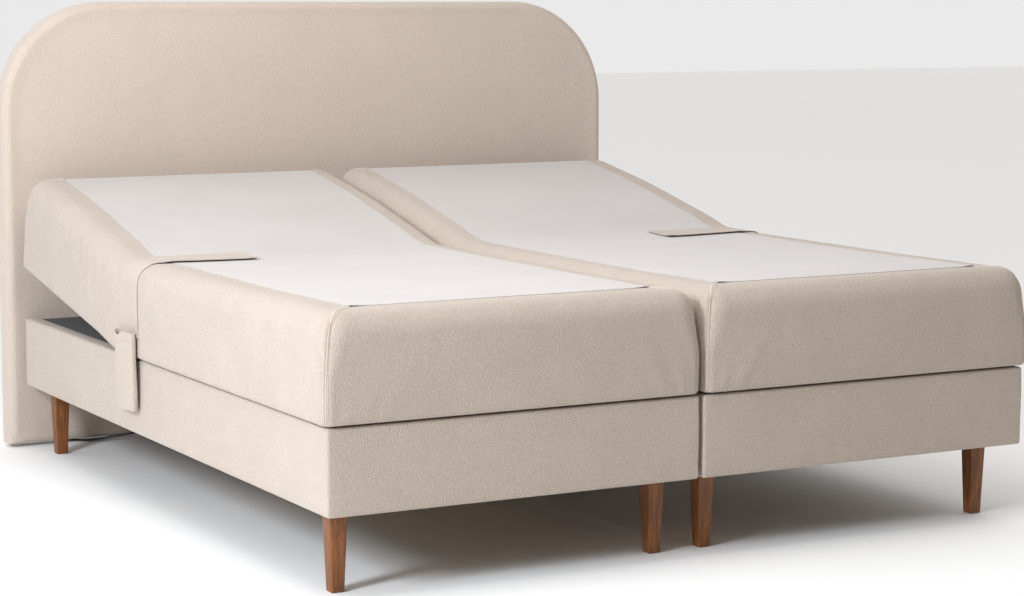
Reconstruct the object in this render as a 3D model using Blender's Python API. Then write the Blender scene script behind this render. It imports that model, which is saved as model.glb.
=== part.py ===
"""Adjustable double bed base: two motor-driven sprung units side by side, with one headboard.

Each unit is an upholstered box on four tapered legs. A steel subframe inside the box carries
four hinged sections (back, seat, thigh, foot) with thick sprung pads on them, and one twin
drive turns two lift bails that raise the back and the thighs.

Frame: metres, +X to the right seen from the foot end, +Y towards the headboard, +Z up.
The origin is on the floor, in the middle of the bed's width and of its whole depth.
"""

import math

import bmesh
import bpy
from mathutils import Matrix, Vector

# ---------------------------------------------------------------- driving dimensions
GAP = 0.0003  # kept between meshes that touch
BED_LENGTH = 2.0
UNIT_WIDTH = 0.895
UNIT_GAP = 0.010
UNIT_CENTRE = (UNIT_GAP + UNIT_WIDTH) / 2
HEADBOARD_GAP = 0.028
HEADBOARD_THICK = 0.075
DEPTH = BED_LENGTH + HEADBOARD_GAP + HEADBOARD_THICK
FOOT_Y = -DEPTH / 2
HEAD_Y = FOOT_Y + BED_LENGTH

# boxes
BOX_BOTTOM = 0.1775
BOX_TOP = 0.3628
COVER = 0.0025
RAIL = 0.034
RIM = 0.036  # the cover's turn-in over the top of the rails
HEM = 0.020  # its turn-in under them
CROSS_HEIGHT = 0.045
CROSS_YS = (0.36, 1.02, 1.66)
CORNER_BLOCK = (0.080, 0.100, 0.060)
DECK = 0.0024
DECK_HOLE_X = 0.33
DECK_HOLE_Y = (0.56, 1.50)

# legs
LEG_TOP = 0.042
LEG_BOTTOM = 0.030
LEG_IN_X = 0.061
LEG_IN_Y = 0.101
STUD_RADIUS = 0.004
STUD_LENGTH = 0.045

# hinged sections, as distances from the foot end
HINGE_Z = 0.380
BACK_HINGE = 1.20
THIGH_HINGE = 0.90
KNEE = 0.58
BACK_REST = math.radians(10)
BACK_RANGE = math.radians(60)
THIGH_RANGE = math.radians(35)
BOARD = 0.020
BOARD_HALF_WIDTH = 0.430
BOARD_SETBACK = 0.015
BOARD_INSET = 0.022
VENT_RADIUS = 0.020

# hinges
PIN_RADIUS = 0.005
PIN_HOLE = 0.0056
LUG_RADIUS = 0.011
LUG_THICK = 0.008
THIGH_LUG_X = 0.262
FOOT_LUG_X = 0.249
EAR_X = (0.272, 0.2855)

# steel subframe
SUBRAIL_X = (0.285, 0.315)
SUBRAIL_Z = (0.300, 0.352)
SUBCROSS_YS = (0.44, 1.62)
SUBCROSS = 0.030
POST = 0.030  # length along the bed of the posts that stand on the box's cross members

# drive and lift bails
TUBE_RADIUS = 0.0125
TUBE_HOLE = 0.014
TUBE_OFFSET = 0.055
BACK_ARM = 0.250
THIGH_ARM = 0.220
ARM_X = 0.155
ARM_THICK = 0.008
ARM_HEIGHT = 0.018
TIP_BAR_RADIUS = 0.007
SLEEVE_BORE = 0.0080
SLEEVE_RADIUS = 0.0115
ARM_SLACK = math.radians(0.3)
LEVER = 0.050
DRIVE_HALF_WIDTH = 0.080
DRIVE_Z = (0.258, 0.350)
DRIVE_END = 0.055
LEVER_SLOT = 0.048
LEVER_GAP = 0.0065

# pads
PAD_HALF_WIDTH = 0.450
PAD_BOTTOM = 0.3655
PAD_TOP = 0.600
PAD_ROUND = 0.045
PAD_LEAN = math.radians(12)
THIGH_LEAN = math.radians(6)
SKIRT = 0.018

# strap, pocket and handset
STRAP_Y = (1.075, 1.195)
STRAP_THICK = 0.0025
STRAP_REACH = 0.585
STRAP_SIDE_X = 0.9065
STRAP_CORNER = 0.048
POCKET_OUT_X = 0.9290
POCKET_Z = (0.240, 0.430)
HANDSET = (0.0135, 0.046, 0.150)

# headboard
BOARD_HALF = 0.938
BOARD_BOTTOM = 0.009
BOARD_TOP = 1.219
BOARD_CORNER = 0.300
BOARD_ROUND = 0.020
PANEL_INSET = 0.030
PANEL_THICK = 0.040

# cord
CORD = 0.0062
COIL_CENTRE = (-0.730, 2.165)
COIL_RADIUS = 0.034
COIL_SECTION = (0.024, 0.022)
OUTER_TURN = COIL_RADIUS + (COIL_SECTION[0] - CORD) / 2
# how far from the coil's middle a lead running into its outer turn meets the coil's side
COIL_CLEAR = math.sqrt((OUTER_TURN + CORD) ** 2 - OUTER_TURN**2) + 0.005
RELIEF_AT = (-0.42, 1.66)


# ---------------------------------------------------------------- scene and materials
for old in list(bpy.data.objects):
    bpy.data.objects.remove(old, do_unlink=True)


def finish(name, colour, roughness, metallic=0.0):
    """A plain Principled BSDF material."""
    material = bpy.data.materials.new(name)
    material.use_nodes = True
    shader = material.node_tree.nodes["Principled BSDF"]
    shader.inputs["Base Color"].default_value = (*colour, 1.0)
    shader.inputs["Roughness"].default_value = roughness
    shader.inputs["Metallic"].default_value = metallic
    return material


UPHOLSTERY = finish("upholstery", (0.72, 0.65, 0.57), 0.9)
TIMBER = finish("pine", (0.70, 0.52, 0.33), 0.65)
PLYWOOD = finish("plywood", (0.66, 0.50, 0.34), 0.6)
OAK = finish("oiled_oak", (0.42, 0.21, 0.09), 0.5)
BLACK_CLOTH = finish("black_cloth", (0.03, 0.03, 0.032), 0.95)
STEEL = finish("painted_steel", (0.06, 0.06, 0.065), 0.45, 0.3)
BRIGHT_STEEL = finish("zinc_steel", (0.62, 0.62, 0.60), 0.35, 0.9)
GREY_PLASTIC = finish("grey_plastic", (0.10, 0.10, 0.11), 0.6)
BLACK_PLASTIC = finish("black_plastic", (0.02, 0.02, 0.02), 0.5)
NYLON = finish("nylon", (0.85, 0.84, 0.80), 0.5)


# ---------------------------------------------------------------- mesh helpers
def place(name, mesh_data, material, parent=None):
    """Make a named object from a bmesh, with one material, and link it."""
    bmesh.ops.recalc_face_normals(mesh_data, faces=mesh_data.faces[:])
    mesh = bpy.data.meshes.new(name)
    mesh_data.to_mesh(mesh)
    mesh_data.free()
    thing = bpy.data.objects.new(name, mesh)
    bpy.context.collection.objects.link(thing)
    if material:
        mesh.materials.append(material)
    if parent:
        thing.parent = parent
    return thing


def add_box(bm, low, high):
    """Add a box between two corners, and return its vertices."""
    made = bmesh.ops.create_cube(bm, size=1.0)["verts"]
    for vert in made:
        for axis in range(3):
            middle = (low[axis] + high[axis]) / 2
            vert.co[axis] = middle + vert.co[axis] * (high[axis] - low[axis])
    return made


def box(name, low, high, material, parent=None):
    bm = bmesh.new()
    add_box(bm, low, high)
    return place(name, bm, material, parent)


def rod(name, start, end, radius, material, parent=None, sides=16):
    """A round bar between two points."""
    start = Vector(start)
    end = Vector(end)
    along = end - start
    bm = bmesh.new()
    bmesh.ops.create_cone(
        bm, cap_ends=True, segments=sides, radius1=radius, radius2=radius, depth=along.length
    )
    turn = along.to_track_quat("Z", "Y").to_matrix().to_4x4()
    bmesh.ops.transform(
        bm, matrix=Matrix.Translation((start + end) / 2) @ turn, verts=bm.verts[:]
    )
    return place(name, bm, material, parent)


def plate(name, outline, x_low, x_high, material, parent=None):
    """A side outline of (y, z) points, extruded along X."""
    bm = bmesh.new()
    ring = [bm.verts.new((x_low, y, z)) for y, z in outline]
    face = bm.faces.new(ring)
    made = bmesh.ops.extrude_face_region(bm, geom=[face])["geom"]
    for vert in made:
        if isinstance(vert, bmesh.types.BMVert):
            vert.co.x = x_high
    return place(name, bm, material, parent)


def panel(name, outline, y_low, y_high, material, parent=None):
    """A front outline of (x, z) points, extruded along Y."""
    bm = bmesh.new()
    ring = [bm.verts.new((x, y_low, z)) for x, z in outline]
    face = bm.faces.new(ring)
    made = bmesh.ops.extrude_face_region(bm, geom=[face])["geom"]
    for vert in made:
        if isinstance(vert, bmesh.types.BMVert):
            vert.co.y = y_high
    return place(name, bm, material, parent)


def combine(target, others, operation):
    """Join or cut with EXACT Booleans, applied at once so that the tools can go."""
    for other in others:
        step = target.modifiers.new(operation.lower(), "BOOLEAN")
        step.operation = operation
        step.solver = "EXACT"
        step.object = other
        bpy.context.view_layer.update()
        graph = bpy.context.evaluated_depsgraph_get()
        result = bpy.data.meshes.new_from_object(target.evaluated_get(graph))
        target.modifiers.clear()
        target.data = result
        bpy.data.objects.remove(other, do_unlink=True)
    return target


def arc(centre, radius, start, end, steps):
    """Points on a circle from one angle to another, both ends included."""
    angles = [start + (end - start) * k / steps for k in range(steps + 1)]
    return [
        (centre[0] + radius * math.cos(a), centre[1] + radius * math.sin(a)) for a in angles
    ]


def pivot(name, y, z, angle=0.0):
    """An empty on a joint's axis, turned about X."""
    thing = bpy.data.objects.new(name, None)
    bpy.context.collection.objects.link(thing)
    thing.location = (0, y, z)
    thing.rotation_euler = (angle, 0, 0)
    return thing


# ---------------------------------------------------------------- box and legs
def box_edges(side):
    """The inner and outer X of a unit's box."""
    low = side * UNIT_CENTRE - UNIT_WIDTH / 2
    return low, low + UNIT_WIDTH


def make_box_frame(unit, side):
    """Pine rails, bottom cross members and corner blocks, glued into one frame."""
    x0, x1 = box_edges(side)
    x0 += COVER + GAP
    x1 -= COVER + GAP
    y0 = FOOT_Y + COVER + GAP
    y1 = HEAD_Y - COVER - GAP
    z0 = BOX_BOTTOM + COVER + GAP
    z1 = BOX_TOP - COVER - GAP
    frame = box(f"{unit}_box_frame", (x0, y0, z0), (x1, y1, z1), TIMBER)
    inner = box("cut", (x0 + RAIL, y0 + RAIL, 0), (x1 - RAIL, y1 - RAIL, 1), None)
    combine(frame, [inner], "DIFFERENCE")
    pieces = []
    overlap = 0.004
    for y in CROSS_YS:
        low = (x0 + RAIL - overlap, FOOT_Y + y - RAIL / 2, z0 + 0.001)
        high = (x1 - RAIL + overlap, FOOT_Y + y + RAIL / 2, z0 + CROSS_HEIGHT)
        pieces.append(box("cross", low, high, None))
    width, depth, height = CORNER_BLOCK
    for x, x_way in ((x0 + RAIL, 1), (x1 - RAIL, -1)):
        for y, y_way in ((y0 + RAIL, 1), (y1 - RAIL, -1)):
            xs = sorted((x - x_way * overlap, x + x_way * width))
            ys = sorted((y - y_way * overlap, y + y_way * depth))
            low = (xs[0], ys[0], z0 + 0.001)
            pieces.append(box("block", low, (xs[1], ys[1], z0 + height), None))
    combine(frame, pieces, "UNION")
    holes = []
    for x, y in leg_places(side):
        holes.append(
            rod("hole", (x, y, 0), (x, y, z0 + STUD_LENGTH + 0.006), STUD_RADIUS + 0.0006, None)
        )
    return combine(frame, holes, "DIFFERENCE")


def make_box_cover(unit, side):
    """The fabric round the box, turned in over the rails at the top and under them."""
    x0, x1 = box_edges(side)
    outer = box(f"{unit}_box_cover", (x0, FOOT_Y, BOX_BOTTOM), (x1, HEAD_Y, BOX_TOP), UPHOLSTERY)
    bm = bmesh.new()
    bm.from_mesh(outer.data)
    upright = [
        edge for edge in bm.edges if abs(edge.verts[0].co.z - edge.verts[1].co.z) > 0.1
    ]
    bmesh.ops.bevel(
        bm,
        geom=upright,
        offset=0.006,
        segments=2,
        profile=0.5,
        affect="EDGES",
    )
    bm.to_mesh(outer.data)
    bm.free()
    inside = box(
        "inside",
        (x0 + COVER, FOOT_Y + COVER, BOX_BOTTOM + COVER),
        (x1 - COVER, HEAD_Y - COVER, BOX_TOP - COVER),
        None,
    )
    top = box(
        "top", (x0 + RIM, FOOT_Y + RIM, 0.3), (x1 - RIM, HEAD_Y - RIM, 1), None
    )
    bottom = box(
        "bottom", (x0 + HEM, FOOT_Y + HEM, 0), (x1 - HEM, HEAD_Y - HEM, 0.25), None
    )
    return combine(outer, [inside, top, bottom], "DIFFERENCE")


def make_deck(unit, side):
    """Black cloth stretched over the box inside the rim, open over the mechanism."""
    x0, x1 = box_edges(side)
    low = (x0 + RIM + GAP, FOOT_Y + RIM + GAP, BOX_TOP - DECK)
    high = (x1 - RIM - GAP, HEAD_Y - RIM - GAP, BOX_TOP - GAP)
    cloth = box(f"{unit}_deck_cloth", low, high, BLACK_CLOTH)
    middle = side * UNIT_CENTRE
    hole = box(
        "hole",
        (middle - DECK_HOLE_X, FOOT_Y + DECK_HOLE_Y[0], 0.3),
        (middle + DECK_HOLE_X, FOOT_Y + DECK_HOLE_Y[1], 0.4),
        None,
    )
    return combine(cloth, [hole], "DIFFERENCE")


def leg_places(side):
    """The four legs' centres: foot outer, foot inner, head outer, head inner."""
    x0, x1 = box_edges(side)
    outer, inner = (x0, x1) if side < 0 else (x1, x0)
    outer += -side * LEG_IN_X
    inner += side * LEG_IN_X
    ys = (FOOT_Y + LEG_IN_Y, HEAD_Y - LEG_IN_Y)
    return [(x, y) for y in ys for x in (outer, inner)]


def make_legs(unit, side):
    """Square tapered oak legs, each with its steel stud."""
    names = ("foot_outer", "foot_inner", "head_outer", "head_inner")
    top = BOX_BOTTOM + COVER
    for name, (x, y) in zip(names, leg_places(side)):
        bm = bmesh.new()
        verts = add_box(bm, (-0.5, -0.5, 0), (0.5, 0.5, top))
        for vert in verts:
            size = LEG_TOP if vert.co.z > top / 2 else LEG_BOTTOM
            vert.co.x = x + vert.co.x * size
            vert.co.y = y + vert.co.y * size
        bmesh.ops.bevel(
            bm, geom=bm.edges[:], offset=0.0015, segments=1, profile=0.5, affect="EDGES"
        )
        leg = place(f"{unit}_leg_{name}", bm, OAK)
        stud = rod(
            "stud", (x, y, top - 0.02), (x, y, top + STUD_LENGTH), STUD_RADIUS, None, sides=12
        )
        combine(leg, [stud], "UNION")


# ---------------------------------------------------------------- hinged sections
def board(name, side, y0, y1, lugs, parent):
    """A plywood section board with vent holes, and hinge lugs reaching to its pivots.

    y0 and y1 are in the parent's frame, whose origin is on the hinge, and lugs lists
    (y of the pivot, distance of the lug from the unit's middle).
    """
    middle = side * UNIT_CENTRE
    half = BOARD / 2
    low = (middle - BOARD_HALF_WIDTH, y0, -half)
    high = (middle + BOARD_HALF_WIDTH, y1, half)
    frame = box(name, low, high, PLYWOOD)
    tools = []
    for y, x in lugs:
        toward = 1 if y < (y0 + y1) / 2 else -1
        reach = y + toward * (BOARD_SETBACK + 0.004)
        for way in (-1, 1):
            inner = middle + way * x
            outer = middle + way * (x + LUG_THICK)
            xs = sorted((inner, outer))
            turn = math.pi / 2
            ends = arc((y, 0), LUG_RADIUS, turn, turn + toward * 2 * turn, 8)
            outline = [(reach, LUG_RADIUS)] + ends + [(reach, -LUG_RADIUS)]
            trimmed = [(a, max(min(b, half - 0.001), 0.001 - half)) for a, b in outline]
            tools.append(plate("lug", trimmed, xs[0], xs[1], None))
    combine(frame, tools, "UNION")
    holes = []
    for y, x in lugs:
        for way in (-1, 1):
            near = middle + way * (x - 0.01)
            far = middle + way * (x + LUG_THICK + 0.01)
            holes.append(rod("hole", (near, y, 0), (far, y, 0), PIN_HOLE, None))
    columns = (-0.24, 0.0, 0.24)
    rows = max(1, round((y1 - y0) / 0.26))
    for row in range(rows):
        y = y0 + (y1 - y0) * (row + 0.5) / rows
        for x in columns:
            at = middle + x
            holes.append(rod("vent", (at, y, -0.1), (at, y, 0.1), VENT_RADIUS, None, sides=12))
    combine(frame, holes, "DIFFERENCE")
    frame.parent = parent
    return frame


def pad(name, side, outline, closed_end, parent):
    """A sprung pad: a side outline extruded to the unit's width, rounded on top, with a
    recess underneath for its board. closed_end is the end whose skirt closes the recess,
    +1 for the head end, -1 for the foot end and 0 for neither."""
    middle = side * UNIT_CENTRE
    body = plate(
        name, outline, middle - PAD_HALF_WIDTH, middle + PAD_HALF_WIDTH, UPHOLSTERY
    )
    top = max(z for _, z in outline)
    ys = [y for y, _ in outline]
    bm = bmesh.new()
    bm.from_mesh(body.data)
    rounded = []
    for edge in bm.edges:
        ends = [vert.co for vert in edge.verts]
        high = min(end.z for end in ends) > top - 0.001
        along_x = abs(ends[0].x - ends[1].x) > 0.1
        end_y = ends[0].y
        outer_end = (closed_end > 0 and end_y > max(ys) - 0.02) or (
            closed_end < 0 and end_y < min(ys) + 0.02
        )
        if high and (not along_x or outer_end):
            rounded.append(edge)
    bmesh.ops.bevel(
        bm, geom=rounded, offset=PAD_ROUND, segments=4, profile=0.5, affect="EDGES"
    )
    bm.to_mesh(body.data)
    bm.free()
    y_low = min(ys) + SKIRT if closed_end < 0 else min(ys) - 0.05
    y_high = max(ys) - SKIRT if closed_end > 0 else max(ys) + 0.05
    recess = box(
        "recess",
        (middle - PAD_HALF_WIDTH + SKIRT, y_low, -0.1),
        (middle + PAD_HALF_WIDTH - SKIRT, y_high, LUG_RADIUS + 0.0012),
        None,
    )
    combine(body, [recess], "DIFFERENCE")
    body.parent = parent
    return body


def make_sections(unit, side):
    """The four boards and their pads, each placed from its own hinge."""
    back_hinge = pivot(f"{unit}_back_hinge", FOOT_Y + BACK_HINGE, HINGE_Z, BACK_REST)
    seat_origin = pivot(f"{unit}_seat_origin", FOOT_Y + BACK_HINGE, HINGE_Z)
    thigh_hinge = pivot(f"{unit}_thigh_hinge", FOOT_Y + THIGH_HINGE, HINGE_Z)
    knee = pivot(f"{unit}_knee", FOOT_Y + KNEE, HINGE_Z)
    back_length = BED_LENGTH - BACK_HINGE
    seat_length = BACK_HINGE - THIGH_HINGE
    thigh_length = THIGH_HINGE - KNEE
    set_back = BOARD_SETBACK
    board(
        f"{unit}_back_frame",
        side,
        set_back,
        back_length - BOARD_INSET,
        [(0.0, THIGH_LUG_X)],
        back_hinge,
    )
    make_seat_frame(unit, side, seat_origin, seat_length)
    board(
        f"{unit}_thigh_frame",
        side,
        set_back - thigh_length,
        -set_back,
        [(0.0, THIGH_LUG_X), (-thigh_length, THIGH_LUG_X)],
        thigh_hinge,
    )
    board(f"{unit}_foot_frame", side, BOARD_INSET - KNEE, -set_back, [(0.0, FOOT_LUG_X)], knee)

    low = PAD_BOTTOM - HINGE_Z
    high = PAD_TOP - HINGE_Z
    play = 0.0015
    lean = high * math.tan(PAD_LEAN)
    outline = [(play, low), (back_length, low), (back_length, high), (play + lean, high), (play, 0.0)]
    pad(f"{unit}_back_pad", side, outline, 1, back_hinge)
    outline = [(play - seat_length, low), (-play, low), (-play, high), (play - seat_length, high)]
    pad(f"{unit}_seat_pad", side, outline, 0, seat_origin)
    chamfer = 0.011
    lean = high * math.tan(THIGH_LEAN)
    outline = [
        (chamfer - thigh_length, low),
        (-play, low),
        (-play, 0.0),
        (-play - lean, high),
        (play - thigh_length, high),
        (play - thigh_length, 0.004),
    ]
    pad(f"{unit}_thigh_pad", side, outline, 0, thigh_hinge)
    outline = [(-KNEE, low), (-chamfer, low), (-play, 0.004), (-play, high), (-KNEE, high)]
    pad(f"{unit}_foot_pad", side, outline, -1, knee)


def make_seat_frame(unit, side, parent, length):
    """The fixed seat board, with two blocks that stand on the subframe's rails."""
    seat = board(
        f"{unit}_seat_frame", side, BOARD_SETBACK - length, -BOARD_SETBACK, [], None
    )
    middle = side * UNIT_CENTRE
    blocks = []
    for way in (-1, 1):
        xs = sorted((middle + way * SUBRAIL_X[0], middle + way * SUBRAIL_X[1]))
        low = (xs[0], 0.05 - length, SUBRAIL_Z[1] + GAP - HINGE_Z)
        blocks.append(box("block", low, (xs[1], -0.065, -BOARD / 2 + 0.002), None))
    combine(seat, blocks, "UNION")
    seat.parent = parent


def make_hinge_pins(unit, side):
    """Steel rods through the ears and lugs, one for each hinge."""
    middle = side * UNIT_CENTRE
    ends = EAR_X[1] + 0.006
    for name, y, half in (
        ("back_hinge_pin", BACK_HINGE, ends),
        ("thigh_hinge_pin", THIGH_HINGE, ends),
        ("knee_pin", KNEE, THIGH_LUG_X + LUG_THICK + 0.006),
    ):
        start = (middle - half, FOOT_Y + y, HINGE_Z)
        end = (middle + half, FOOT_Y + y, HINGE_Z)
        rod(f"{unit}_{name}", start, end, PIN_RADIUS, BRIGHT_STEEL)


# ---------------------------------------------------------------- mechanism
def tube_place(hinge, way, travel):
    """Where a lift bail's tube lies: under its hinge, towards the section it lifts."""
    y = FOOT_Y + hinge + way * TUBE_OFFSET * math.sin(travel / 2)
    return y, HINGE_Z - TUBE_OFFSET * math.cos(travel / 2)


def arm_rise(arm, travel):
    """The arms' angle over their section, so that the sleeve just clears its underside."""
    drop = TUBE_OFFSET * math.cos(travel / 2) - BOARD / 2 - SLEEVE_RADIUS
    return math.asin(drop / arm) - ARM_SLACK


BACK_TUBE = tube_place(BACK_HINGE, 1, BACK_RANGE)
THIGH_TUBE = tube_place(THIGH_HINGE, -1, THIGH_RANGE)


def make_subframe(unit, side):
    """Two steel rails on posts, two cross tubes, and welded ears for hinges and tubes."""
    middle = side * UNIT_CENTRE
    y0 = FOOT_Y + CROSS_YS[0] - POST / 2
    y1 = FOOT_Y + CROSS_YS[-1] + POST / 2
    post_foot = BOX_BOTTOM + COVER + CROSS_HEIGHT + 2 * GAP
    post_head = SUBRAIL_Z[0] + 0.002
    pieces = []
    for way in (-1, 1):
        xs = sorted((middle + way * SUBRAIL_X[0], middle + way * SUBRAIL_X[1]))
        pieces.append(box("rail", (xs[0], y0, SUBRAIL_Z[0]), (xs[1], y1, SUBRAIL_Z[1]), None))
        for start in (y0, y1 - POST):
            low = (xs[0], start, post_foot)
            pieces.append(box("post", low, (xs[1], start + POST, post_head), None))
        xs = sorted((middle + way * EAR_X[0], middle + way * EAR_X[1]))
        for hinge, tube, toward in (
            (BACK_HINGE, BACK_TUBE, 1),
            (THIGH_HINGE, THIGH_TUBE, -1),
        ):
            y = FOOT_Y + hinge
            top = arc((y, HINGE_Z), LUG_RADIUS, 0, math.pi, 8)
            base = SUBRAIL_Z[0] + 0.002
            under = HINGE_Z - 0.020
            near = y - toward * LUG_RADIUS
            far = tube[0] + toward * 0.022
            if toward > 0:
                outline = [(near, base), (far, base), (far, under), (y + LUG_RADIUS, under)] + top
            else:
                outline = [(y - LUG_RADIUS, under), (far, under), (far, base), (near, base)]
                outline = top + outline
            pieces.append(plate("ear", outline, xs[0], xs[1], None))
    frame = pieces.pop(0)
    frame.name = f"{unit}_subframe"
    frame.data.materials.append(STEEL)
    half = SUBRAIL_X[0] + 0.004
    for y in SUBCROSS_YS:
        corner = (middle - half, FOOT_Y + y, SUBRAIL_Z[0] + 0.002)
        far_corner = (middle + half, FOOT_Y + y + SUBCROSS, SUBRAIL_Z[0] + SUBCROSS)
        pieces.append(box("cross", corner, far_corner, None))
    combine(frame, pieces, "UNION")
    holes = []
    for way in (-1, 1):
        near = middle + way * (EAR_X[0] - 0.01)
        far = middle + way * (SUBRAIL_X[1] + 0.01)
        for hinge in (BACK_HINGE, THIGH_HINGE):
            y = FOOT_Y + hinge
            holes.append(rod("hole", (near, y, HINGE_Z), (far, y, HINGE_Z), PIN_HOLE, None))
        for y, z in (BACK_TUBE, THIGH_TUBE):
            holes.append(rod("hole", (near, y, z), (far, y, z), TUBE_HOLE, None, sides=24))
    return combine(frame, holes, "DIFFERENCE")


def make_bail(unit, name, side, tube, way, arm, angle, lever_angle):
    """A tube with two arms, a bar across their tips, and the lever the drive pushes."""
    middle = side * UNIT_CENTRE
    y, z = tube
    half = SUBRAIL_X[1] - 0.004
    bail = rod(
        f"{unit}_{name}_bail", (middle - half, y, z), (middle + half, y, z), TUBE_RADIUS, STEEL,
        sides=20,
    )
    along = Vector((0, way * math.cos(angle), math.sin(angle)))
    across = Vector((0, -along.z, along.y))
    tip = Vector((0, y, z)) + along * arm
    parts = []
    for at in (-ARM_X, ARM_X):
        start = Vector((0, y, z)) + along * (TUBE_RADIUS * 0.5)
        corners = []
        for point, height in (
            (start, -1),
            (tip, -1),
            (tip + along * ARM_HEIGHT / 2, 0),
            (tip, 1),
            (start, 1),
        ):
            corner = point + across * height * ARM_HEIGHT / 2
            corners.append((corner.y, corner.z))
        x = middle + at
        parts.append(plate("arm", corners, x - ARM_THICK / 2, x + ARM_THICK / 2, None))
    reach = ARM_X + ARM_THICK / 2 + 0.004
    bar = rod(
        "bar",
        (middle - reach, tip.y, tip.z),
        (middle + reach, tip.y, tip.z),
        TIP_BAR_RADIUS,
        None,
        sides=12,
    )
    parts.append(bar)
    down = Vector((0, math.sin(lever_angle), -math.cos(lever_angle)))
    aside = Vector((0, -down.z, down.y))
    start = Vector((0, y, z))
    end = start + down * LEVER
    corners = []
    for point, way_out in ((start, -1), (end, -0.6), (end, 0.6), (start, 1)):
        corner = point + aside * way_out * TUBE_RADIUS * 0.8
        corners.append((corner.y, corner.z))
    parts.append(plate("lever", corners, middle - 0.005, middle + 0.005, None))
    combine(bail, parts, "UNION")
    inner = ARM_X - ARM_THICK / 2 - 0.001
    sleeve = rod(
        f"{unit}_{name}_glide",
        (middle - inner, tip.y, tip.z),
        (middle + inner, tip.y, tip.z),
        SLEEVE_RADIUS,
        NYLON,
    )
    bore = rod(
        "bore",
        (middle - inner - 0.01, tip.y, tip.z),
        (middle + inner + 0.01, tip.y, tip.z),
        SLEEVE_BORE,
        None,
    )
    combine(sleeve, [bore], "DIFFERENCE")


def make_drive(unit, side):
    """The twin drive: one housing hung on both tubes, slotted for their levers."""
    middle = side * UNIT_CENTRE
    y0 = THIGH_TUBE[0] - DRIVE_END
    y1 = BACK_TUBE[0] + DRIVE_END
    low, high = DRIVE_Z
    slope = 0.020
    outline = [
        (y0, low + slope),
        (y0 + slope, low),
        (y1 - slope, low),
        (y1, low + slope),
        (y1, high),
        (y0, high),
    ]
    half = DRIVE_HALF_WIDTH
    drive = plate(f"{unit}_drive", outline, middle - half, middle + half, GREY_PLASTIC)
    cuts = []
    for y, z in (BACK_TUBE, THIGH_TUBE):
        start = (middle - 0.2, y, z)
        end = (middle + 0.2, y, z)
        cuts.append(rod("bore", start, end, TUBE_HOLE, None, sides=24))
        corner = (middle - LEVER_GAP, y - LEVER_SLOT, z - LEVER - 0.006)
        far_corner = (middle + LEVER_GAP, y + LEVER_SLOT, 0.5)
        cuts.append(box("slot", corner, far_corner, None))
    return combine(drive, cuts, "DIFFERENCE")


def make_mechanism(unit, side):
    make_subframe(unit, side)
    make_hinge_pins(unit, side)
    make_drive(unit, side)
    rise = BACK_REST + arm_rise(BACK_ARM, BACK_RANGE)
    swing = BACK_REST - BACK_RANGE / 2
    make_bail(unit, "back", side, BACK_TUBE, 1, BACK_ARM, rise, swing)
    rise = arm_rise(THIGH_ARM, THIGH_RANGE)
    make_bail(unit, "thigh", side, THIGH_TUBE, -1, THIGH_ARM, rise, THIGH_RANGE / 2)


# ---------------------------------------------------------------- strap and handset
def make_strap(unit, side):
    """A fabric strap laid over the pad's outer edge, ending in a pocket for the handset."""
    top = PAD_TOP + 0.001
    x_side = STRAP_SIDE_X
    outer = x_side + STRAP_THICK
    round_out = STRAP_CORNER
    centre = (x_side - round_out, top - round_out)
    quarter = math.pi / 2
    over = arc(centre, round_out + STRAP_THICK, quarter, 0, 6)
    under = arc(centre, round_out, 0, quarter, 6)
    outline = [(STRAP_REACH, top), (STRAP_REACH, top + STRAP_THICK)] + over
    outline += [
        (outer, POCKET_Z[1]),
        (POCKET_OUT_X, POCKET_Z[1]),
        (POCKET_OUT_X, POCKET_Z[0]),
        (x_side, POCKET_Z[0]),
    ]
    outline += under
    y0 = FOOT_Y + STRAP_Y[0]
    y1 = FOOT_Y + STRAP_Y[1]
    mirrored = [(side * x, z) for x, z in outline]
    strap = panel(f"{unit}_remote_strap", mirrored, y0, y1, UPHOLSTERY)
    xs = sorted((side * (outer + GAP), side * (POCKET_OUT_X - STRAP_THICK)))
    pocket = box(
        "pocket",
        (xs[0], y0 + STRAP_THICK, POCKET_Z[0] + STRAP_THICK),
        (xs[1], y1 - STRAP_THICK, POCKET_Z[1] + 0.1),
        None,
    )
    combine(strap, [pocket], "DIFFERENCE")

    thick, width, height = HANDSET
    x = side * (outer + POCKET_OUT_X - STRAP_THICK) / 2
    y = (y0 + y1) / 2
    z = POCKET_Z[0] + STRAP_THICK + GAP
    bm = bmesh.new()
    add_box(bm, (x - thick / 2, y - width / 2, z), (x + thick / 2, y + width / 2, z + height))
    bmesh.ops.bevel(
        bm, geom=bm.edges[:], offset=0.004, segments=2, profile=0.5, affect="EDGES"
    )
    place(f"{unit}_handset", bm, BLACK_PLASTIC)


# ---------------------------------------------------------------- headboard and joining parts
def arch(inset, steps):
    """The headboard's front outline, drawn in by the inset."""
    half = BOARD_HALF - inset
    top = BOARD_TOP - inset
    low = BOARD_BOTTOM + inset
    radius = BOARD_CORNER - inset
    quarter = math.pi / 2
    right = arc((half - radius, top - radius), radius, 0, quarter, steps)
    left = arc((radius - half, top - radius), radius, quarter, 2 * quarter, steps)
    return [(-half, low), (half, low)] + right + left


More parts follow.
